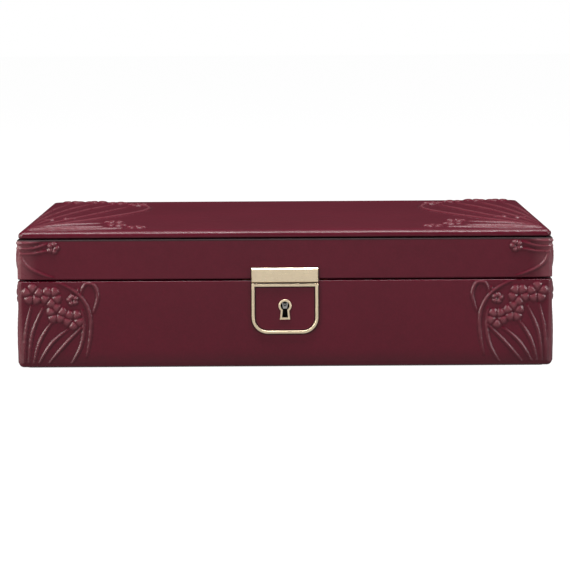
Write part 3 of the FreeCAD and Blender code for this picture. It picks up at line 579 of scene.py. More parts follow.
def metal_material(name, colour, roughness, stretch, depth=0.004 * MM):
    """Plated or polished metal with fine brush marks and faint tarnish."""
    material, tree, shader, place = principled(name, {"Metallic": 1.0})
    lines = texture(tree, place, 1.0, 3.0, 0.6, stretch)
    cloud = texture(tree, place, 220.0, 3.0, 0.6)
    shade_of = mixed(tree, ranged(tree, cloud, 0.35, 0.75), tinted(colour, 1.02), tinted(colour, 0.93))
    shade_of = mixed(tree, ranged(tree, lines, 0.35, 0.65, 0.0, 0.25), shade_of, tinted(colour, 0.85))
    gloss = maths(tree, "ADD", ranged(tree, lines, 0.3, 0.7, -0.02, 0.03),
                  ranged(tree, cloud, 0.3, 0.7, roughness, roughness + 0.015))
    surface(shader, shade_of, gloss, lines, depth, 0.6)
    return material


def suede_material(name, colour, nap=0.09 * MM):
    """Short-napped suede cloth: soft sheen, brushed patches and a fine nap."""
    material, tree, shader, place = principled(
        name, {"Specular IOR Level": 0.15, "Sheen Weight": 0.45, "Sheen Roughness": 0.45,
               "Sheen Tint": tinted(colour, 4.0)})
    fibre = texture(tree, place, 3200.0, 4.0, 0.7)
    brushed = texture(tree, place, 38.0, 5.0, 0.65, (1.0, 1.6, 1.0))
    tone = mixed(tree, ranged(tree, brushed, 0.36, 0.66), tinted(colour, 0.74), tinted(colour, 1.25))
    tone = mixed(tree, ranged(tree, fibre, 0.35, 0.7, 0.0, 0.5), tone, tinted(colour, 1.8))
    surface(shader, tone, ranged(tree, fibre, 0.3, 0.7, 0.82, 0.98), fibre, nap, 0.7)
    return material


def ribbon_material(colour):
    """Grosgrain ribbon: fine ribs across its width, with a soft shine."""
    material, tree, shader, place = principled(
        "ribbon_weave", {"Specular IOR Level": 0.35, "Sheen Weight": 0.25, "Sheen Roughness": 0.3})
    ribs = add(tree, "ShaderNodeTexWave", {"Vector": place, "Scale": 900.0, "Distortion": 0.4, "Detail": 1.0},
               bands_direction="Z").outputs["Fac"]
    yarn = add(tree, "ShaderNodeTexWave", {"Vector": place, "Scale": 1400.0, "Distortion": 0.3, "Detail": 1.0},
               bands_direction="Y").outputs["Fac"]
    weave = maths(tree, "ADD", maths(tree, "MULTIPLY", ribs, 0.7), maths(tree, "MULTIPLY", yarn, 0.3))
    tone = mixed(tree, weave, tinted(colour, 0.6), tinted(colour, 1.4))
    surface(shader, tone, ranged(tree, weave, 0, 1, 0.6, 0.42), weave, 0.06 * MM, 0.8)
    return material


def fibre_material(name, colour, scale, roughness, depth):
    """Greyboard, foam or felt: speckled and matt."""
    material, tree, shader, place = principled(name, {"Specular IOR Level": 0.2})
    speck = texture(tree, place, scale, 6.0, 0.75)
    cloud = texture(tree, place, scale / 12, 3.0)
    tone = mixed(tree, ranged(tree, speck, 0.35, 0.65), tinted(colour, 0.7), tinted(colour, 1.2))
    tone = mixed(tree, ranged(tree, cloud, 0.3, 0.7, 0.0, 0.4), tone, tinted(colour, 0.85))
    rough = ranged(tree, speck, 0.3, 0.7, roughness - 0.08, roughness + 0.05)
    surface(shader, tone, rough, speck, depth, 0.7)
    return material


def mirror_material():
    """Silvered glass with a few faint wipe marks."""
    material, tree, shader, place = principled(
        "silvered_glass", {"Metallic": 1.0, "Coat Weight": 0.5, "Coat Roughness": 0.02})
    wipe = texture(tree, place, 20.0, 4.0, 0.6, (1.0, 3.0, 1.0))
    tone = mixed(tree, ranged(tree, wipe, 0.4, 0.7), (0.86, 0.89, 0.88, 1), (0.82, 0.85, 0.84, 1))
    surface(shader, tone, ranged(tree, wipe, 0.45, 0.8, 0.015, 0.05))
    return material


def material(name):
    """A finish by name, made when it is first asked for."""
    found = bpy.data.materials.get(name)
    if found:
        return found
    looks = bpy.context.scene.case_looks
    makers = {
        "burgundy_leather": lambda: leather_material(looks),
        "gilt": lambda: metal_material(name, looks.gilt, 0.28, (260.0, 3500.0, 3500.0), 0.0006 * MM),
        "blackened_metal": lambda: metal_material(name, (0.035, 0.032, 0.03, 1), 0.5, (1500.0, 1500.0, 1500.0)),
        "brass": lambda: metal_material(name, looks.brass, 0.27, (250.0, 3200.0, 3200.0)),
        "steel": lambda: metal_material(name, looks.steel, 0.3, (2600.0, 2600.0, 400.0)),
        "suede": lambda: suede_material(name, looks.suede),
        "roll_suede": lambda: suede_material(name, tinted(looks.suede, 1.08)),
        "ribbon_weave": lambda: ribbon_material(looks.ribbon),
        "dyed_board": lambda: fibre_material(name, (0.012, 0.004, 0.005), 1200.0, 0.9, 0.06 * MM),
        "greyboard": lambda: fibre_material(name, (0.33, 0.29, 0.24), 900.0, 0.85, 0.08 * MM),
        "soft_foam": lambda: fibre_material(name, (0.62, 0.60, 0.52), 1600.0, 0.9, 0.2 * MM),
        "base_felt_cloth": lambda: fibre_material(name, (0.035, 0.012, 0.016), 2400.0, 0.93, 0.1 * MM),
        "silvered_glass": mirror_material,
    }
    return makers[name]()


# ---------------------------------------------------------------- embossing
# Lines and blossoms of the two sprays, in millimetres. Across is the distance in from the corner edge.
SIDE_LINES = (
    ((3.3, 2.0), (3.6, 14), (5.2, 26), (7.9, 35.4)),
    ((6.0, 2.0), (6.6, 14), (9.6, 25), (14.6, 34.2)),
    ((8.8, 2.0), (10.4, 11), (14.6, 20), (19.4, 25.8)),
    ((11.6, 2.0), (15.0, 9), (21.4, 17), (28.4, 21.6)),
    ((17.0, 2.0), (22.5, 9.0), (30.0, 17.0), (37.4, 24.2)),
    ((20.5, 49.0), (31.5, 45.0), (40.6, 34.0), (41.4, 19.0), (38.5, 6.0)),
    ((29.5, 1.5), (34.0, 8.5), (36.6, 16.5), (37.4, 25.0), (36.2, 33.0)),
    ((35.5, 41.0), (36.8, 47.4), (42.4, 48.0), (45.2, 43.0), (45.0, 37.5), (42.6, 31.0)),
    ((33.0, 41.5), (34.2, 43.0), (34.6, 45.0)),
    ((21.5, 50.2), (12.0, 53.4), (5.2, 57.4), (2.8, 62.0), (1.2, 66.5), (0.0, 68.0)),
    ((2.0, 64.4), (8.0, 64.2), (13.5, 65.4), (18.8, 66.0)),
    ((0.5, 67.4), (7.0, 67.0), (12.4, 68.2), (17.6, 69.8)),
    ((0.5, 70.2), (5.4, 70.2), (10.0, 70.6), (13.8, 71.6)),
)
SIDE_BLOSSOMS = ((8.6, 41.4, 5.9, 18), (19.0, 40.0, 5.9, 54), (21.9, 30.6, 5.7, 18), (31.2, 27.0, 5.7, 54),
                 (31.0, 38.2, 3.2, 30), (20.6, 67.6, 3.4, 0))
TOP_LINES = (
    ((2.5, -90), (14, -86), (30, -80), (46, -74)),
    ((4.0, -93), (22, -92), (40, -89), (58, -85)),
    ((3.5, -84), (12, -74), (26, -62), (43, -54)),
    ((4.0, -88), (15, -70), (27, -48), (46, -16), (62, 18), (66, 44), (60, 66), (54, 60)),
    ((5.0, -80), (14, -56), (24, -28), (36, 4), (46, 34), (54, 60)),
    ((4.0, -74), (9, -46), (15, -16), (24, 20), (34, 50), (42, 70)),
    ((3.0, -66), (5.5, -38), (9, -6), (15, 30), (22, 56), (27, 78)),
    ((2.6, -52), (3.4, -22), (5.0, 10), (8, 44), (13, 76)),
)
TOP_BLOSSOMS = ((14, 89, 7.4, 10), (28.5, 90, 7.4, 40), (43, 81, 7.2, 0), (56, 69, 6.8, 20),
                (53, -67, 6.6, 0), (50, -49, 6.4, 30), (65, -80, 6.2, 12), (22, -27, 4.4, 0), (11, -34, 4.0, 36))


def line_drawing(name, lines):
    """The embossed lines as smooth curves in a plane, thinner towards their ends."""
    data = bpy.data.curves.new(name, "CURVE")
    data.dimensions, data.resolution_u = "3D", 10
    for line in lines:
        spline = data.splines.new("NURBS")
        spline.points.add(len(line) - 1)
        for k, (point, (across, up)) in enumerate(zip(spline.points, line)):
            point.co = (across * MM, up * MM, 0, 1)
            point.radius = 1.0 if 0 < k < len(line) - 1 else 0.62
        spline.order_u, spline.use_endpoint_u = 3, True
    return link(name, data)


def blossom_places(name, blossoms):
    """One point for each blossom, with its size and its turn."""
    obj = object_from(name, [(a * MM, b * MM, 0) for a, b, _, _ in blossoms], [])
    store(obj, "size", [size * MM for _, _, size, _ in blossoms])
    store(obj, "turn", [math.radians(turn) for _, _, _, turn in blossoms])
    return obj


def embossing_tree():
    """Presses the drawing into a skin: each point is raised to the die's height above its place in the drawing."""
    tree, given, end = geometry_tree("Embossing", (
        ("Lines", "Object", None), ("Blossoms", "Object", None), ("Ridge", "Float", 0.6 * MM),
        ("Petal height", "Float", 0.9 * MM), ("Petals", "Int", 5), ("Softness", "Int", 1), ("Moat", "Float", 0.45)))
    section = add(tree, "GeometryNodeCurvePrimitiveCircle", {"Resolution": 14, "Radius": given["Ridge"]})
    radius = add(tree, "GeometryNodeInputRadius").outputs[0]
    tubes = add(tree, "GeometryNodeCurveToMesh", {
        "Curve": object_in(tree, given["Lines"]), "Profile Curve": section.outputs[0]})
    if "Scale" in tubes.inputs:
        tree.links.new(radius, tubes.inputs["Scale"])

    # One petal, wide at its outer end, of unit length along X.
    ball = add(tree, "GeometryNodeMeshIcoSphere", {"Radius": 1.0, "Subdivisions": 4}).outputs[0]
    at = split(tree, add(tree, "GeometryNodeInputPosition").outputs[0])
    across = maths(tree, "MULTIPLY", at[1], maths(tree, "MULTIPLY_ADD", at[0], 0.22, 0.38))
    along = maths(tree, "MULTIPLY_ADD", at[0], 0.44, 0.56)
    shape = joined(tree, along, across, at[2])
    petal = add(tree, "GeometryNodeSetPosition", {"Geometry": ball, "Position": shape}).outputs[0]
    hub = add(tree, "GeometryNodeMeshLine", {"Count": given["Petals"], "Offset": (0, 0, 0)}).outputs[0]
    step = maths(tree, "DIVIDE", math.tau, given["Petals"])
    turn = maths(tree, "MULTIPLY", add(tree, "GeometryNodeInputIndex").outputs[0], step)
    blossom = copies(tree, hub, petal, Rotation=joined(tree, z=turn))

    size = stored(tree, "size")
    blossoms = copies(tree, object_in(tree, given["Blossoms"]), blossom,
                      Rotation=joined(tree, z=stored(tree, "turn")),
                      Scale=joined(tree, size, size, given["Petal height"]))
    die = tree.nodes.new("GeometryNodeJoinGeometry")
    tree.links.new(add(tree, "GeometryNodeRealizeInstances", {0: blossoms}).outputs[0], die.inputs[0])
    tree.links.new(tubes.outputs[0], die.inputs[0])

    # Each point looks down on the die from well above it.
    above = 10 * MM
    hit = add(tree, "GeometryNodeRaycast", {
        "Target Geometry": die.outputs[0], "Ray Direction": (0, 0, -1), "Ray Length": 2 * above,
        "Source Position": joined(tree, stored(tree, "die_across"), stored(tree, "die_up"), above)})
    top = split(tree, hit.outputs["Hit Position"])[2]
    height = maths(tree, "MULTIPLY", maths(tree, "MAXIMUM", top, 0.0), hit.outputs["Is Hit"])

    def keep(geometry, value):
        return add(tree, "GeometryNodeStoreNamedAttribute", {
            "Geometry": geometry, "Name": "relief", "Value": value}, data_type="FLOAT", domain="POINT").outputs[0]

    def blurred(steps, weight):
        return add(tree, "GeometryNodeBlurAttribute", {
            "Value": stored(tree, "relief"), "Iterations": steps, "Weight": weight}, data_type="FLOAT").outputs[0]

    # The moat is the skin drawn down round the raised parts.
    lifted = maths(tree, "MULTIPLY", blurred(given["Softness"], 0.5), maths(tree, "ADD", given["Moat"], 1.0))
    drawn = maths(tree, "MULTIPLY", blurred(5, 1.0), given["Moat"])
    raised = maths(tree, "MULTIPLY", maths(tree, "SUBTRACT", lifted, drawn), stored(tree, "die_mask"))
    skin = keep(keep(given["Geometry"], height), raised)
    normal = add(tree, "GeometryNodeInputNormal").outputs[0]
    offset = add(tree, "ShaderNodeVectorMath", {0: normal, "Scale": stored(tree, "relief")}, operation="SCALE")
    pushed = add(tree, "GeometryNodeSetPosition", {"Geometry": skin, "Offset": offset.outputs[0]})
    return end(pushed.outputs[0])


def emboss(obj, across, up, mask, lines, blossoms, width=1.0, height=1.0, wear_sheen=0.0, shadow=0.0):
    """Embosses a cover with a drawing, marks the ridges as rubbed with a painted sheen, and paints shade into the
    moats.
    """
    looks = bpy.context.scene.case_looks
    store(obj, "die_across", across)
    store(obj, "die_up", up)
    store(obj, "die_mask", mask)
    tree = bpy.data.node_groups.get("Embossing") or embossing_tree()
    drawing = line_drawing(obj.name + "_lines", lines)
    places = blossom_places(obj.name + "_blossoms", blossoms)
    grow(obj, tree, **{"Lines": drawing, "Blossoms": places, "Ridge": looks.ridge * width,
                       "Petal height": looks.petal * height, "Material": material("burgundy_leather")})
    bpy.data.objects.remove(drawing)
    bpy.data.objects.remove(places)
    relief = np.empty(len(obj.data.vertices), np.float32)
    obj.data.attributes["relief"].data.foreach_get("value", relief)
    # Ridges lighter: partly rubbed wear, partly a painted highlight.
    rubbed = WEAR_AND_SHEEN_MOST * smooth(relief / looks.petal) ** 2
    # Moats darker: painted shade where the skin is drawn down round the raised parts.
    sunk = PAINTED_SHADE_MOST * smooth(-relief / (0.1 * looks.petal))
    for name in ("die_across", "die_up", "die_mask", "relief"):
        obj.data.attributes.remove(obj.data.attributes[name])
    store(obj, "rubbed", np.maximum(rubbed, wear_sheen))
    store(obj, "sunk", np.maximum(sunk, shadow))
    return obj


def round_the_corner(obj):
    """Distance in from the nearest upright edge, measured along the skin, and a mask of the outer faces."""
    places, near = points_of(obj), 0.01 * MM
    flat = BASE[1].x - CORNER_RADIUS, BASE[1].y - CORNER_RADIUS
    beyond = np.abs(places[:, :2]) - flat
    on_arc = (beyond > 0).all(axis=1)
    past = np.maximum(beyond, 0)
    angle = np.arctan2(past[:, 0], past[:, 1])
    along_arc = np.abs(angle - math.pi / 4) / (math.pi / 4) * CORNER_RADIUS
    facing_y = np.abs(places[:, 1]) > BASE[1].y - near
    along_flat = np.where(facing_y, -beyond[:, 0], -beyond[:, 1]) + CORNER_RADIUS
    outer = np.where(on_arc, np.abs(np.hypot(*past.T) - CORNER_RADIUS) < near,
                     facing_y | (np.abs(places[:, 0]) > BASE[1].x - near))
    return np.where(on_arc, along_arc, along_flat), places, outer.astype(float)


def wall_cover(name, low, high, foot, inner):
    """A wall's leather: its outer face with rounded edges, closed behind by the inner profile."""
    rim = Rim(low, high, CORNER_RADIUS, 9 * MM, reach=(COVER_REACH, COVER_REACH), fine=COVER_STEP)
    z0, z1 = low[2] + foot, high[2] - RIM_RADIUS
    rows = np.linspace(z0, z1, round((z1 - z0) / COVER_STEP) + 1)[1:-1]
    profile = arc((foot, z0), foot, 270, 180, 6 if foot > MM else 4)
    profile += [(0.0, z) for z in rows]
    profile += arc((RIM_RADIUS, z1), RIM_RADIUS, 180, 90, 4)
    return swept(name, rim, profile + inner)


def emboss_wall(obj, low, high, foot, wear_sheen, wear_sheen_reach, groove=0.0):
    """Side sprays on a wall's four corners, kept off its rounded edges; wear and painted sheen near the corners,
    painted shade towards the foot and along a groove above.
    """
    across, places, outer = round_the_corner(obj)
    z = places[:, 2]
    mask = outer * smooth((z - low[2] - foot * 0.4) / (1.2 * MM)) * smooth((high[2] - 0.4 * MM - z) / (0.9 * MM))
    # Painted sheen and wear near the upright corners.
    wear_sheen = wear_sheen * (1 - smooth(across / wear_sheen_reach)) * outer
    # Painted shade: darker towards the foot, and along the groove under the panel.
    shadow = FOOT_SHADE * (1 - smooth((z - BASE[0].z) / FOOT_SHADE_REACH)) * outer
    shadow = np.maximum(shadow, groove * smooth((z - high[2] + GROOVE_SHADE_REACH) / (0.5 * MM)))
    return emboss(obj, across, z - BASE[0].z, mask, SIDE_LINES, SIDE_BLOSSOMS, wear_sheen=wear_sheen, shadow=shadow)


def hinge_cutters(z0, z1):
    """Room in the leather for hinge leaves and knuckles."""
    cutters = []
    axis = Vector(frame["joints"][0]["pos_m"])
    for side in ("left", "right"):
        low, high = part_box("hinge_base_leaf_" + side)
        cutters.append(block((low.x, low.y, z0), (high.x, axis.y, z1)))
        knuckle = abs(axis.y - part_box("hinge_lid_leaf_" + side)[1].y)
        cutters.append(rod((low.x - POCKET_ROOM, axis.y, axis.z), (high.x + POCKET_ROOM, axis.y, axis.z),
                           knuckle + POCKET_ROOM))
    return cutters


def key_outline(margin):
    """Outline of the escutcheon's keyhole shape, made smaller all round by a margin."""
    low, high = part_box("lock_escutcheon")
    radius = (high.x - low.x) / 2
    half, foot = radius - margin, low.z + margin
    return arc((0, high.z - radius), half, -60, 240, 24) + [(-half * 0.55, foot), (half * 0.55, foot)]


class CASE_OT_base_leather(bpy.types.Operator):
    """Covers the base in embossed leather"""

    bl_idname = "jewellery_case.base_leather"
    bl_label = "Base leather"

    def execute(self, context):
        low, high = BASE
        board_low, board_high = BASE_BOARD[0].z, BASE_BOARD[1].z
        edge = WALL - FOLD_RADIUS
        inner = [(edge, high.z)] + arc((edge, high.z - FOLD_RADIUS), FOLD_RADIUS, 90, 0, 3)
        inner += [(WALL, board_high), (LEATHER, board_high), (LEATHER, board_low), (TURN_IN, board_low),
                  (TURN_IN, low.z)]
        cover = wall_cover("base_leather_cover", low, high, FOOT_RADIUS, inner)
        seat_low, seat_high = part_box("lock_selvage")
        seat_high.z += MM
        pockets = hinge_cutters(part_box("hinge_lid_leaf_left")[0].z - POCKET_DEPTH, high.z + MM)
        cut(cover, block(seat_low, seat_high), prism(key_outline(0.3 * MM), low.y - MM, low.y + 2 * MM), *pockets)
        shade(cover, 40)
        emboss_wall(cover, low, high, FOOT_RADIUS, BASE_WEAR_SHEEN, BASE_WEAR_SHEEN_REACH)
        finish_piece(cover, "base", "burgundy_leather", "leather", "base_leather")
        return {"FINISHED"}


class CASE_OT_lid_leather(bpy.types.Operator):
    """Covers the lid's walls in embossed leather"""

    bl_idname = "jewellery_case.lid_leather"
    bl_label = "Lid leather"

    def execute(self, context):
        low, high = LID
        board_low, board_high = LID_BOARD[0].z, LID_BOARD[1].z
        inner = [(TURN_IN, high.z), (TURN_IN, board_high), (LEATHER, board_high), (LEATHER, board_low),
                 (WALL, board_low)] + arc((WALL - FOLD_RADIUS, low.z + FOLD_RADIUS), FOLD_RADIUS, 0, -90, 3)
        cover = wall_cover("lid_leather_cover", low, high, RIM_RADIUS, inner)
        seat_low, seat_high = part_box("lid_strike")
        seat_low.z = low.z - MM
        pockets = hinge_cutters(low.z - MM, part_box("hinge_base_leaf_left")[1].z)
        cut(cover, block(seat_low, seat_high), *pockets)
        shade(cover, 40)
        emboss_wall(cover, low, high, RIM_RADIUS, LID_WEAR_SHEEN, LID_WEAR_SHEEN_REACH, groove=1.0)
        finish_piece(cover, "lid", "burgundy_leather", "leather", "lid_leather")
        return {"FINISHED"}


class CASE_OT_top_panel(bpy.types.Operator):
    """Makes the padded and embossed leather panel on the lid"""

    bl_idname = "jewellery_case.top_panel"
    bl_label = "Top panel"

    def execute(self, context):
        low, high = PANEL
        looks = context.scene.case_looks
        rim = Rim(low, high, CORNER_RADIUS, 7 * MM, reach=(PANEL_REACH, high.y), fine=PANEL_STEP)
        tuck = high.z - LEATHER
        foot = low.z + RIM_RADIUS
        profile = [(CORNER_RADIUS, tuck), (PANEL_TUCK, tuck), (PANEL_TUCK, low.z), (RIM_RADIUS, low.z)]
        profile += arc((RIM_RADIUS, foot), RIM_RADIUS, 270, 180, 3)[1:] + [(0.0, foot + 0.4 * MM)]
        profile += arc((PANEL_RADIUS, high.z - PANEL_RADIUS), PANEL_RADIUS, 180, 90, 7) + [(CORNER_RADIUS, high.z)]
        rings = [rim.ring(d, z) for d, z in profile]
        count, start = len(rim.seats), len(rings) * len(rim.seats)
        xs, ys = rim.along_x + rim.middle[0], rim.along_y + rim.middle[1]
        grid = np.array([(x, y, high.z) for y in ys for x in xs])
        wide = len(xs)
        faces = [range(count)] + bands(count, len(rings))
        faces += [(a, a + 1, a + wide + 1, a + wide) for j in range(len(ys) - 1)
                  for a in range(start + j * wide, start + (j + 1) * wide - 1)]
        panel = tidy(object_from("lid_top_panel", np.concatenate(rings + [grid]), faces), MERGE)

        places = points_of(panel)
        inward = np.minimum(rim.half[0] - np.abs(places[:, 0]), rim.half[1] - np.abs(places[:, 1]))
        upper = places[:, 2] > high.z - PANEL_RADIUS - 0.01 * MM
        outside = upper | (inward < 0.05 * MM)
        swell = smooth(0.5 + inward / PANEL_SLOPE) * 2 - 1
        places[:, 2] += np.where(upper, looks.padding * swell * smooth(inward / (1.5 * MM) + 0.35), 0)
        pucker = np.array([noise.noise(Vector((p[0] * 620, p[1] * 620, p[2] * 500))) for p in places])
        near_edge = outside * (1 - smooth((inward - 0.8 * MM) / PUCKER_REACH))
        centre = np.clip(places[:, :2], -(rim.half - 4 * MM), rim.half - 4 * MM)
        away = places[:, :2] - centre
        away /= np.maximum(np.linalg.norm(away, axis=1), 1e-9)[:, None]
        places[:, :2] += away * (pucker * near_edge * PUCKER)[:, None]
        move_points(panel, places)
        shade(panel, 50)
        across = rim.half[0] - np.abs(places[:, 0])
        mask = upper * smooth((inward - 2.0 * MM) / (2.0 * MM))
        emboss(panel, across, places[:, 1], mask, TOP_LINES, TOP_BLOSSOMS, 1.35, 0.85)
        finish_piece(panel, "lid", "burgundy_leather", "leather", "lid_top_leather")
        return {"FINISHED"}


# ---------------------------------------------------------------- metal
# One side of the lock's forked ward, in millimetres out from the pin's axis and up from it.
WARD_SIDE = ((1.15, -2.5), (1.4, -1.2), (1.55, 0.4), (1.2, 1.3), (0.85, 0.5), (0.9, -0.6), (0.3, -1.2))


def dress_nodes(body, finish, slot, bevel, *nodes):
    """Dresses CAD nodes in a metal, with their edges rounded by the bevel."""
    for node in nodes:
        finish_piece(dressed(node, bevel * MM), body, finish, slot, node)


class CASE_OT_lock_face(bpy.types.Operator):
    """Dresses the plaque, the frame, the keyhole's rim and the leather inside the frame"""

    bl_idname = "jewellery_case.lock_face"
    bl_label = "Lock face"

    def execute(self, context):
        dress_nodes("base", "gilt", "gilt_metal", 0.22, "lock_frame")
        rim = dressed("lock_escutcheon", 0.06 * MM)
        finish_piece(rim, "base", "gilt", "gilt_metal", "lock_escutcheon")
        # The keyhole's bore is painted black: painted shade inside the keyhole.
        rim.data.materials.append(material("blackened_metal"))
        low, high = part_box("lock_escutcheon")
        radius = (high.x - low.x) / 2
        for face in rim.data.polygons:
            axis = Vector((0, face.center.y, min(max(face.center.z, low.z + radius), high.z - radius)))
            inward = (axis - face.center).normalized().dot(face.normal)
            face.material_index = int(inward > 0.3 and face.center.y > low.y + 0.1 * MM)
        dress_nodes("lid", "gilt", "gilt_metal", 0.42, "lid_plaque")
        dress_nodes("base", "burgundy_leather", "leather", 0, "lock_inlay")
        return {"FINISHED"}


class CASE_OT_lock_works(bpy.types.Operator):
    """Dresses the lock's case, plates, pin, ward, bolt and staples"""

    bl_idname = "jewellery_case.lock_works"
    bl_label = "Lock works"

    def execute(self, context):
        dress_nodes("base", "brass", "brass", 0.15, "lock_selvage")
        dress_nodes("lid", "brass", "brass", 0.12, "lid_strike")
        # Lock case and backplate in dark metal: partly a dark finish, partly painted shade seen through the keyhole.
        dress_nodes("base", "blackened_metal", "brass", 0.05, "lock_case", "lock_backplate")
        dress_nodes("base", "brass", "brass", 0.05, "lock_rivets")
        dress_nodes("base", "steel", "lock_steel", 0.05, "lock_drill_pin", "lock_spring")
        low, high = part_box("lock_ward")
        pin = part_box("lock_drill_pin")
        x, z = (pin[0].x + pin[1].x) / 2, (pin[0].z + pin[1].z) / 2
        outline = [(x + side * a * MM, z + b * MM) for side, points in ((-1, WARD_SIDE), (1, WARD_SIDE[::-1]))
                   for a, b in points]
        ward = bevelled(prism(outline, low.y, high.y), 0.06 * MM)
        ward.name = "lock_ward_fork"
        finish_piece(ward, "base", "steel", "lock_steel", "lock_ward")
        dress_nodes("lock_bolt", "steel", "lock_steel", 0.08, "lock_bolt")
        return {"FINISHED"}


class CASE_OT_hinges(bpy.types.Operator):
    """Dresses the hinge leaves and pins"""

    bl_idname = "jewellery_case.hinges"
    bl_label = "Hinges"

    def execute(self, context):
        for side in ("left", "right"):
            dress_nodes("base", "brass", "brass", 0.1, "hinge_base_leaf_" + side, "hinge_pin_" + side)
            dress_nodes("lid", "brass", "brass", 0.1, "hinge_lid_leaf_" + side)
        return {"FINISHED"}


def screw_places(node):
    """Lowest and highest corner of each screw in a CAD node of several screws."""
    work = bmesh.new()
    work.from_mesh(frame["nodes"][node].data)
    bmesh.ops.remove_doubles(work, verts=work.verts, dist=CAD_MERGE)
    left, found = set(work.verts), []
    while left:
        island, edge = set(), [left.pop()]
        while edge:
            vertex = edge.pop()
            island.add(vertex)
            for other in (e.other_vert(vertex) for e in vertex.link_edges):
                if other in left:
                    left.discard(other)
                    edge.append(other)
        places = np.array([v.co for v in island])
        found.append((places.min(0), places.max(0)))
    work.free()
    return sorted(found, key=lambda f: tuple(f[0]))


def screw_pattern(radius, length):
    """A slotted countersunk screw of these sizes, with its head's face at the origin and its shank down -Z."""
    slot_half, slot_depth = 0.13 * radius, 0.26 * radius
    profile = ((0.55, 0.0), (0.88, 0.0), (0.97, -0.03), (1.0, -0.1), (0.5, -0.5))
    rings = [[(radius * r * math.cos(a), radius * r * math.sin(a), radius * z)
              for a in np.linspace(0, math.tau, 41)[:-1]] for r, z in profile]
    rings.append([(x, y, -length * 0.86) for x, y, _ in rings[-1]])
    rings.append([(x * 0.15, y * 0.15, -length) for x, y, _ in rings[-1]])
    screw = tube("screw_pattern", rings)
    cut(screw, block((-2 * radius, -slot_half, -slot_depth), (2 * radius, slot_half, radius)))
    return bevelled(screw, 0.04 * radius, 1, 40)


def screws_tree():
    """A screw on every point, along the point's direction, with its slot turned at random."""
    tree, given, end = geometry_tree("Screws", (
        ("Screw", "Object", None), ("Seed", "Int", 4), ("Most turn", "Float", math.pi)))
    screw = object_in(tree, given["Screw"], **{"As Instance": True})
    turn = add(tree, "FunctionNodeRandomValue", {2: 0.0, 3: given["Most turn"], "Seed": given["Seed"]},
               data_type="FLOAT").outputs[1]
    return end(copies(tree, given["Geometry"], screw, Rotation=joined(tree, stored(tree, "tilt"), z=turn)))


class CASE_OT_screws(bpy.types.Operator):
    """Puts a slotted screw in every countersunk hole of the hinges and the lock"""

    bl_idname = "jewellery_case.screws"
    bl_label = "Screws"

    def execute(self, context):
        tree = screws_tree()
        rows = (("lock_screws", "base", 1, 3), ("hinge_base_screws", "base", 1, 5),
                ("strike_screws", "lid", -1, 7), ("hinge_lid_screws", "lid", -1, 11))
        for node, body, up, seed in rows:
            found = screw_places(node)
            low, high = found[0]
            pattern = screw_pattern((high[0] - low[0]) / 2, high[2] - low[2])
            heads = [((a[0] + b[0]) / 2, (a[1] + b[1]) / 2, b[2] if up > 0 else a[2]) for a, b in found]
            screws = object_from(node + "_slotted", heads, [])
            store(screws, "tilt", [0.0 if up > 0 else math.pi] * len(heads))
            grow(screws, tree, **{"Screw": pattern, "Seed": seed, "Material": material("brass")})
            bpy.data.objects.remove(pattern)
            shade(screws, 40)
            finish_piece(screws, body, "brass", "brass", node)
        return {"FINISHED"}


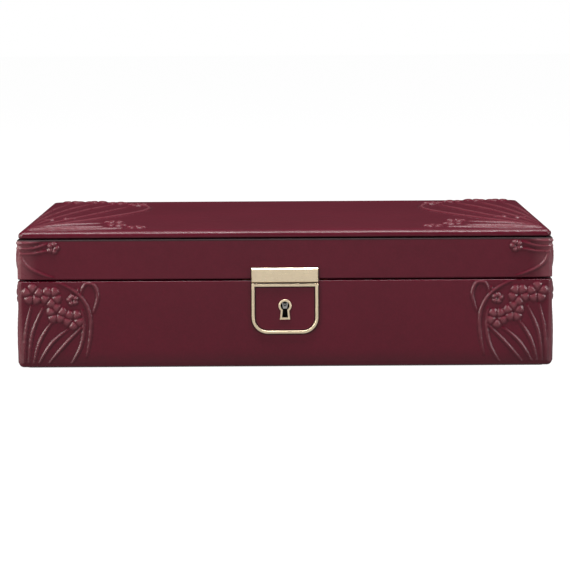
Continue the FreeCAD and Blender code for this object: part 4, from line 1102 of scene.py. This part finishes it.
# ---------------------------------------------------------------- lining and mirror
class CASE_OT_linings(bpy.types.Operator):
    """Makes the suede linings of base and lid, the floor pads, ledges and dividers"""

    bl_idname = "jewellery_case.linings"
    bl_label = "Linings"

    def execute(self, context):
        low, high = LINING
        step = BASE[1].z
        play, thick, soft = LINING_PLAY, LINING_THICK, LINING_SOFT
        profile = [(0.0, low.z), (0.0, step - 0.1 * MM), (play, step)]
        profile += arc((play + soft, high.z - soft), soft, 180, 90, 5)
        profile += arc((thick - soft, high.z - soft), soft, 90, 0, 5)
        profile += [(thick, z) for z in np.linspace(high.z - 5 * MM, low.z, 8)]
        lining = swept("base_lining_suede", Rim(low, high, 0.3 * MM, steps=2), profile)
        finish_piece(shade(lining, 45), "base", "suede", "lining", "base_lining")

        low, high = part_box("lid_lining")
        profile = [(0.0, high.z), (thick, high.z)]
        profile += [(thick, z) for z in np.linspace(high.z - 2 * MM, low.z + 2 * MM, 4)]
        profile += arc((thick - soft, low.z + soft), soft, 0, -90, 5)
        profile += arc((soft, low.z + soft), soft, 270, 180, 5)
        lining = swept("lid_lining_suede", Rim(low, high, 0.3 * MM, steps=2), profile)
        finish_piece(shade(lining, 45), "lid", "suede", "lining", "lid_lining")

        low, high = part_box("lid_ceiling")
        finish_piece(wrapped("lid_ceiling_suede", low, high, 0.5 * MM), "lid", "suede", "lining", "lid_ceiling")

        wrap_boards(("base_ledge_left", "base_ledge_right", "base_divider_left", "base_divider_right",
                     "base_divider_cross"), "base", 0.8 * MM, 0.7 * MM, 0)
        self.floor_pads(context.scene.case_looks.crown)

        low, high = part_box("base_felt")
        edge = [(0.1 * MM, low.z), (0.0, low.z + 0.15 * MM), (0.0, high.z)]
        profile = [(CORNER_RADIUS, low.z), *edge, (CORNER_RADIUS, high.z)]
        felt = swept("base_felt_sheet", Rim(low, high, CORNER_RADIUS, 8 * MM), profile, capped=True)
        finish_piece(shade(felt, 50), "base", "base_felt_cloth", "felt", "base_felt")
        return {"FINISHED"}

    def floor_pads(self, crown):
        """One pad over the floor, domed between the walls and dividers of each compartment."""
        low, high = FLOOR_PAD
        wide, deep = 142, 92
        walls = [low.x, high.x] + [sum(c.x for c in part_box("base_divider_" + side)) / 2 for side in ("left", "right")]
        cross_low, cross_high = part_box("base_divider_cross")
        top = []
        for y in np.linspace(low.y, high.y, deep):
            for x in np.linspace(low.x, high.x, wide):
                near = [abs(x - wall) for wall in walls] + [abs(y - low.y), abs(y - high.y)]
                if cross_low.x < x < cross_high.x:
                    near.append(abs(y - (cross_low.y + cross_high.y) / 2))
                rise = float(smooth(min(near) / PAD_SLOPE))
                top.append((x, y, high.z + crown * (2.2 * rise - 1.0)))
        bottom = [(x, y, low.z) for x, y, _ in top]
        count = wide * deep
        faces = []
        for a in (j * wide + i for j in range(deep - 1) for i in range(wide - 1)):
            faces.append((a, a + 1, a + wide + 1, a + wide))
            faces.append((count + a, count + a + wide, count + a + wide + 1, count + a + 1))
        edge = [*range(wide), *range(2 * wide - 1, count, wide)]
        edge += [*range(count - 2, count - wide - 1, -1), *range(count - 2 * wide, 0, -wide)]
        faces += [(a, count + a, count + b, b) for a, b in zip(edge, edge[1:] + edge[:1])]
        pad = tidy(object_from("base_floor_pads", top + bottom, faces), 1e-7)
        finish_piece(shade(pad, 60), "base", "suede", "lining", "base_floor_pad")


class CASE_OT_mirror(bpy.types.Operator):
    """Makes the mirror and its padded suede border"""

    bl_idname = "jewellery_case.mirror"
    bl_label = "Mirror"

    def execute(self, context):
        low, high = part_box("lid_mirror")
        edge = [(0.2 * MM, low.z + 0.2 * MM), (0.0, low.z + 0.4 * MM), (0.0, high.z)]
        profile = [(1.0 * MM, low.z), *edge, (1.0 * MM, high.z)]
        glass = swept("lid_mirror_glass", Rim(low, high, 0.5 * MM, 20 * MM, 2), profile, capped=True)
        finish_piece(shade(glass, 5), "lid", "silvered_glass", "mirror", "lid_mirror")

        frame_low, frame_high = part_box("lid_mirror_frame")
        border = frame_high.x - high.x
        lip = border + 3.0 * MM
        face, seat = frame_low.z, low.z
        outer, inner, swell = 1.2 * MM, 0.9 * MM, 0.12 * MM
        profile = [(0.0, frame_high.z), (0.0, seat)] + arc((outer, face + outer), outer, 180, 270, 5)
        profile += [(lip * t, face - swell * math.sin(math.pi * t)) for t in np.linspace(0.2, 0.8, 7)]
        profile += arc((lip - inner, face + inner), inner, 270, 360, 5)
        profile += [(lip, seat), (border, seat), (border, frame_high.z)]
        pad = swept("lid_mirror_border", Rim(frame_low, frame_high, 3.0 * MM), profile)
        finish_piece(shade(pad, 45), "lid", "suede", "lining", "lid_mirror_frame")
        return {"FINISHED"}


# ---------------------------------------------------------------- tray
def rolls_tree():
    """Copies of one roll side by side."""
    tree, given, end = geometry_tree("Ring rolls", (("Count", "Int", 8), ("Pitch", "Float", 12 * MM)))
    line = add(tree, "GeometryNodeMeshLine", {"Count": given["Count"], "Offset": joined(tree, y=given["Pitch"])})
    return end(copies(tree, line.outputs[0], given["Geometry"]))


class CASE_OT_tray(bpy.types.Operator):
    """Makes the suede tray with its dividers"""

    bl_idname = "jewellery_case.tray"
    bl_label = "Tray"

    def execute(self, context):
        low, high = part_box("tray_shell")
        divider_low, divider_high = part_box("tray_divider_left")
        floor, wall = divider_low.z, high.y - divider_high.y
        radius, soft, foot, rise = 4.0 * MM, 1.0 * MM, 0.8 * MM, 4 * MM
        profile = [(radius, low.z), (foot, low.z), (0.0, low.z + foot)]
        profile += [(0.0, z) for z in np.linspace(low.z + rise, high.z - rise, 4)]
        profile += arc((soft, high.z - soft), soft, 180, 90, 5) + arc((wall - soft, high.z - soft), soft, 90, 0, 5)
        profile += [(wall, z) for z in np.linspace(high.z - rise, floor + 0.6 * MM, 4)]
        profile += [(wall + 0.5 * MM, floor), (radius, floor)]
        shell = swept("tray_shell_suede", Rim(low, high, radius), profile, capped=True)
        finish_piece(shade(shell, 45), "tray", "suede", "lining", "tray_shell")
        wrap_boards(("tray_divider_left", "tray_divider_right", "tray_cross_left", "tray_cross_middle",
                     "tray_cross_right_front", "tray_cross_right_back"), "tray", 0.3 * MM, 0.8 * MM, 20)
        return {"FINISHED"}


class CASE_OT_ring_rolls(bpy.types.Operator):
    """Lays padded rolls side by side, to hold rings between them"""

    bl_idname = "jewellery_case.ring_rolls"
    bl_label = "Ring rolls"

    def execute(self, context):
        names = sorted(n for n in frame["nodes"] if n.startswith("ring_roll"))
        low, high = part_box(names[0])
        pitch = (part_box(names[-1])[0].y - low.y) / (len(names) - 1)
        width, height = high.y - low.y, high.z - low.z
        middle, spring = (low.y + high.y) / 2, high.z - width / 2
        shoulder, foot, tuck = low.z + 0.5 * height - 2 * MM, 0.6 * MM, 1.6 * MM
        stations = [(low.x + tuck * (1 - math.cos(a)), tuck * (1 - math.sin(a)))
                    for a in np.linspace(0, math.pi / 2, 6)]
        stations += [(x, 0.0) for x in np.linspace(low.x + tuck, high.x - tuck, 46)[1:-1]] + [
            (low.x + high.x - x, inset) for x, inset in stations[::-1]]
        rings = []
        for x, inset in stations:
            half = width / 2 - inset
            right = [(middle + half, low.z + min(inset, foot)), (middle + half, shoulder)]
            section = right + arc((middle, spring), half, 0, 180, 20)
            section += [(2 * middle - y, z) for y, z in right[::-1]]
            rings.append([])
            for y, z in section:
                p = Vector((x, y, z))
                sag = noise.noise(p * 120) * 0.12 * MM + noise.noise(p * 45) * 0.15 * MM
                rings[-1].append((x, y, z + sag - 0.15 * MM) if z > spring else (x, y + sag * 0.3, z))
        roll = tube("tray_ring_rolls", rings, 1e-7)
        grow(roll, rolls_tree(), **{"Count": len(names), "Pitch": pitch, "Material": material("roll_suede")})
        finish_piece(shade(roll, 60), "tray", "roll_suede", "lining", *names)
        return {"FINISHED"}


class CASE_OT_pull_tabs(bpy.types.Operator):
    """Folds a ribbon into each of the tray's pull tabs"""

    bl_idname = "jewellery_case.pull_tabs"
    bl_label = "Pull tabs"

    def execute(self, context):
        for side in ("left", "right"):
            low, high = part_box("tray_tab_" + side)
            outer, middle = (high.x - low.x) / 2, (high.x + low.x) / 2
            inner, spring = outer - 0.5 * MM, high.z - outer
            loop = [(middle - outer, low.z)] + arc((middle, spring), outer, 180, 0, 14) + [(middle + outer, low.z)]
            loop += [(middle + inner, low.z)] + arc((middle, spring), inner, 0, 180, 14) + [(middle - inner, low.z)]
            ys, ring = np.linspace(low.y, high.y, 13), len(loop)
            faces = bands(ring, len(ys))
            for end in (0, (len(ys) - 1) * ring):
                faces += [(end + i, end + i + 1, end + ring - 2 - i, end + ring - 1 - i) for i in range(ring // 2 - 1)]
            tab = tidy(object_from("tray_tab_%s_ribbon" % side, [(x, y, z) for y in ys for x, z in loop], faces), 1e-7)
            finish_piece(bevelled(tab, 0.1 * MM, 2, 40), "tray", "ribbon_weave", "ribbon", "tray_tab_" + side)
        return {"FINISHED"}


class CASE_OT_hidden_pieces(bpy.types.Operator):
    """Gives the boards, the filler and the foam inside the leather their own materials"""

    bl_idname = "jewellery_case.hidden_pieces"
    bl_label = "Boards and foam"

    def execute(self, context):
        finishes = {"greyboard": ("base_carcass", "lid_carcass", "base_filler"), "dyed_board": ("lid_top_board",),
                    "soft_foam": ("lid_top_foam",)}
        for finish, nodes in finishes.items():
            for node in nodes:
                paint(frame["nodes"][node].data, finish)
        return {"FINISHED"}


# ---------------------------------------------------------------- stage
WHITE, WARM, WARMER = (1, 1, 1), (1, 0.94, 0.88), (1, 0.92, 0.84)
LIGHTS = (    # name, place, width, height, power, colour
    ("key", (-1.2, -1.3, 1.3), 0.25, 0.25, 13, WHITE),
    ("fill", (1.3, -1.2, 1.1), 0.25, 0.25, 8.5, WHITE),
    ("top", (0, -0.3, 1.32), 1.3, 0.22, 34, WHITE),
    ("back", (0.1, 0.85, 1.45), 0.9, 0.3, 7, WHITE),
    ("back_low", (0.9, 1.4, 0.55), 0.3, 0.4, 1.6, WHITE),
    ("left_strip", (-1.15, -0.7, 0.36), 0.1, 0.6, 12.5, WARM),
    ("left_side", (-1.3, 0.1, 0.3), 0.3, 0.6, 7, WARMER),
    ("right_strip", (1.15, -0.7, 0.36), 0.08, 0.6, 8, WHITE),
    ("right_side", (1.3, 0.2, 0.4), 0.3, 0.6, 3, WHITE),
)
FLOOR_HALF, FLOOR_DROP = 8.0, 0.1 * MM


def area_light(name, place, width, height, power, colour=WHITE, target=(0, 0, 0.05)):
    """A rectangular light that faces its target."""
    data = bpy.data.lights.new(name, "AREA")
    data.shape, data.size, data.size_y = "RECTANGLE", width, height
    data.energy, data.color = power, colour
    light = link(name, data)
    light.location = place
    light.rotation_euler = (Vector(target) - Vector(place)).to_track_quat("-Z", "Y").to_euler()
    return light


def seen_or_not(tree, light, seen):
    """One strength for what the camera sees, and another for the light that falls on the case."""
    return ranged(tree, add(tree, "ShaderNodeLightPath").outputs["Is Camera Ray"], 0, 1, light, seen)


class CASE_OT_stage(bpy.types.Operator):
    """Sets up the camera, the lights and the pale floor"""

    bl_idname = "jewellery_case.stage"
    bl_label = "Stage"

    def execute(self, context):
        scene = context.scene
        stage = scene.case_stage
        camera = link("camera", bpy.data.cameras.new("camera"))
        camera.data.lens, camera.data.sensor_width = stage.lens, 36.0
        camera.data.clip_start, camera.data.clip_end = 0.05, 50.0
        place = Matrix.Translation(stage.place)
        for angle, axis in ((stage.left, "Z"), (math.pi / 2 - stage.down, "X"), (stage.roll, "Z")):
            place = place @ Matrix.Rotation(angle, 4, axis)
        camera.matrix_world = place
        scene.camera = camera
        scene.view_settings.view_transform = "Standard"

        corners = ((-1, -1), (1, -1), (1, 1), (-1, 1))
        floor = object_from("floor", [(x * FLOOR_HALF, y * FLOOR_HALF, -FLOOR_DROP) for x, y in corners], [range(4)])
        paper = bpy.data.materials.new("white_floor")
        paper.use_nodes = True
        tree = paper.node_tree
        tree.nodes.clear()
        glow = add(tree, "ShaderNodeEmission", {"Color": (1, 1, 1, 1), "Strength": seen_or_not(tree, 0.33, 0.985)})
        matt = add(tree, "ShaderNodeBsdfDiffuse", {"Color": (0.08, 0.08, 0.08, 1)})
        both = add(tree, "ShaderNodeAddShader", {0: glow.outputs[0], 1: matt.outputs[0]})
        clear = add(tree, "ShaderNodeBsdfTransparent")
        behind = add(tree, "ShaderNodeNewGeometry").outputs["Backfacing"]
        paper_side = add(tree, "ShaderNodeMixShader", {0: behind, 1: both.outputs[0], 2: clear.outputs[0]})
        add(tree, "ShaderNodeOutputMaterial", {"Surface": paper_side.outputs[0]})
        floor.data.materials.append(paper)

        world = bpy.data.worlds.new("white_room")
        scene.world = world
        world.use_nodes = True
        tree = world.node_tree
        tree.nodes.clear()
        sky = add(tree, "ShaderNodeBackground", {"Color": (1, 1, 1, 1), "Strength": seen_or_not(tree, 0.03, 1.0)})
        add(tree, "ShaderNodeOutputWorld", {"Surface": sky.outputs[0]})

        for light in LIGHTS:
            area_light(*light)
        card = area_light("front_card", (0, -0.66, 0.01), 0.5, 0.12, 0.18, target=(0, -0.1, 0.045))
        card.visible_camera = False
        return {"FINISHED"}


# ---------------------------------------------------------------- add-on
OPERATORS = (
    CASE_OT_stage, CASE_OT_base_leather, CASE_OT_lid_leather, CASE_OT_top_panel, CASE_OT_lock_face,
    CASE_OT_lock_works, CASE_OT_hinges, CASE_OT_screws, CASE_OT_linings, CASE_OT_mirror, CASE_OT_tray,
    CASE_OT_ring_rolls, CASE_OT_pull_tabs, CASE_OT_hidden_pieces)


class CASE_PT_pieces(bpy.types.Panel):
    """Lists the pieces of the jewellery case"""

    bl_idname = "CASE_PT_pieces"
    bl_label = "Jewellery case"
    bl_space_type = "VIEW_3D"
    bl_region_type = "UI"
    bl_category = "Jewellery case"

    def draw(self, context):
        for group in (context.scene.case_looks, context.scene.case_stage):
            for name in group.__annotations__:
                self.layout.prop(group, name)
        for operator in OPERATORS:
            self.layout.operator(operator.bl_idname)


CLASSES = (CaseLooks, CaseStage, *OPERATORS, CASE_PT_pieces)


def register():
    for cls in CLASSES:
        bpy.utils.register_class(cls)
    bpy.types.Scene.case_looks = bpy.props.PointerProperty(type=CaseLooks)
    bpy.types.Scene.case_stage = bpy.props.PointerProperty(type=CaseStage)


def unregister():
    del bpy.types.Scene.case_looks, bpy.types.Scene.case_stage
    for cls in reversed(CLASSES):
        bpy.utils.unregister_class(cls)


def main():
    register()
    for operator in OPERATORS:
        group, name = operator.bl_idname.split(".")
        getattr(getattr(bpy.ops, group), name)()


if __name__ == "__main__":
    main()
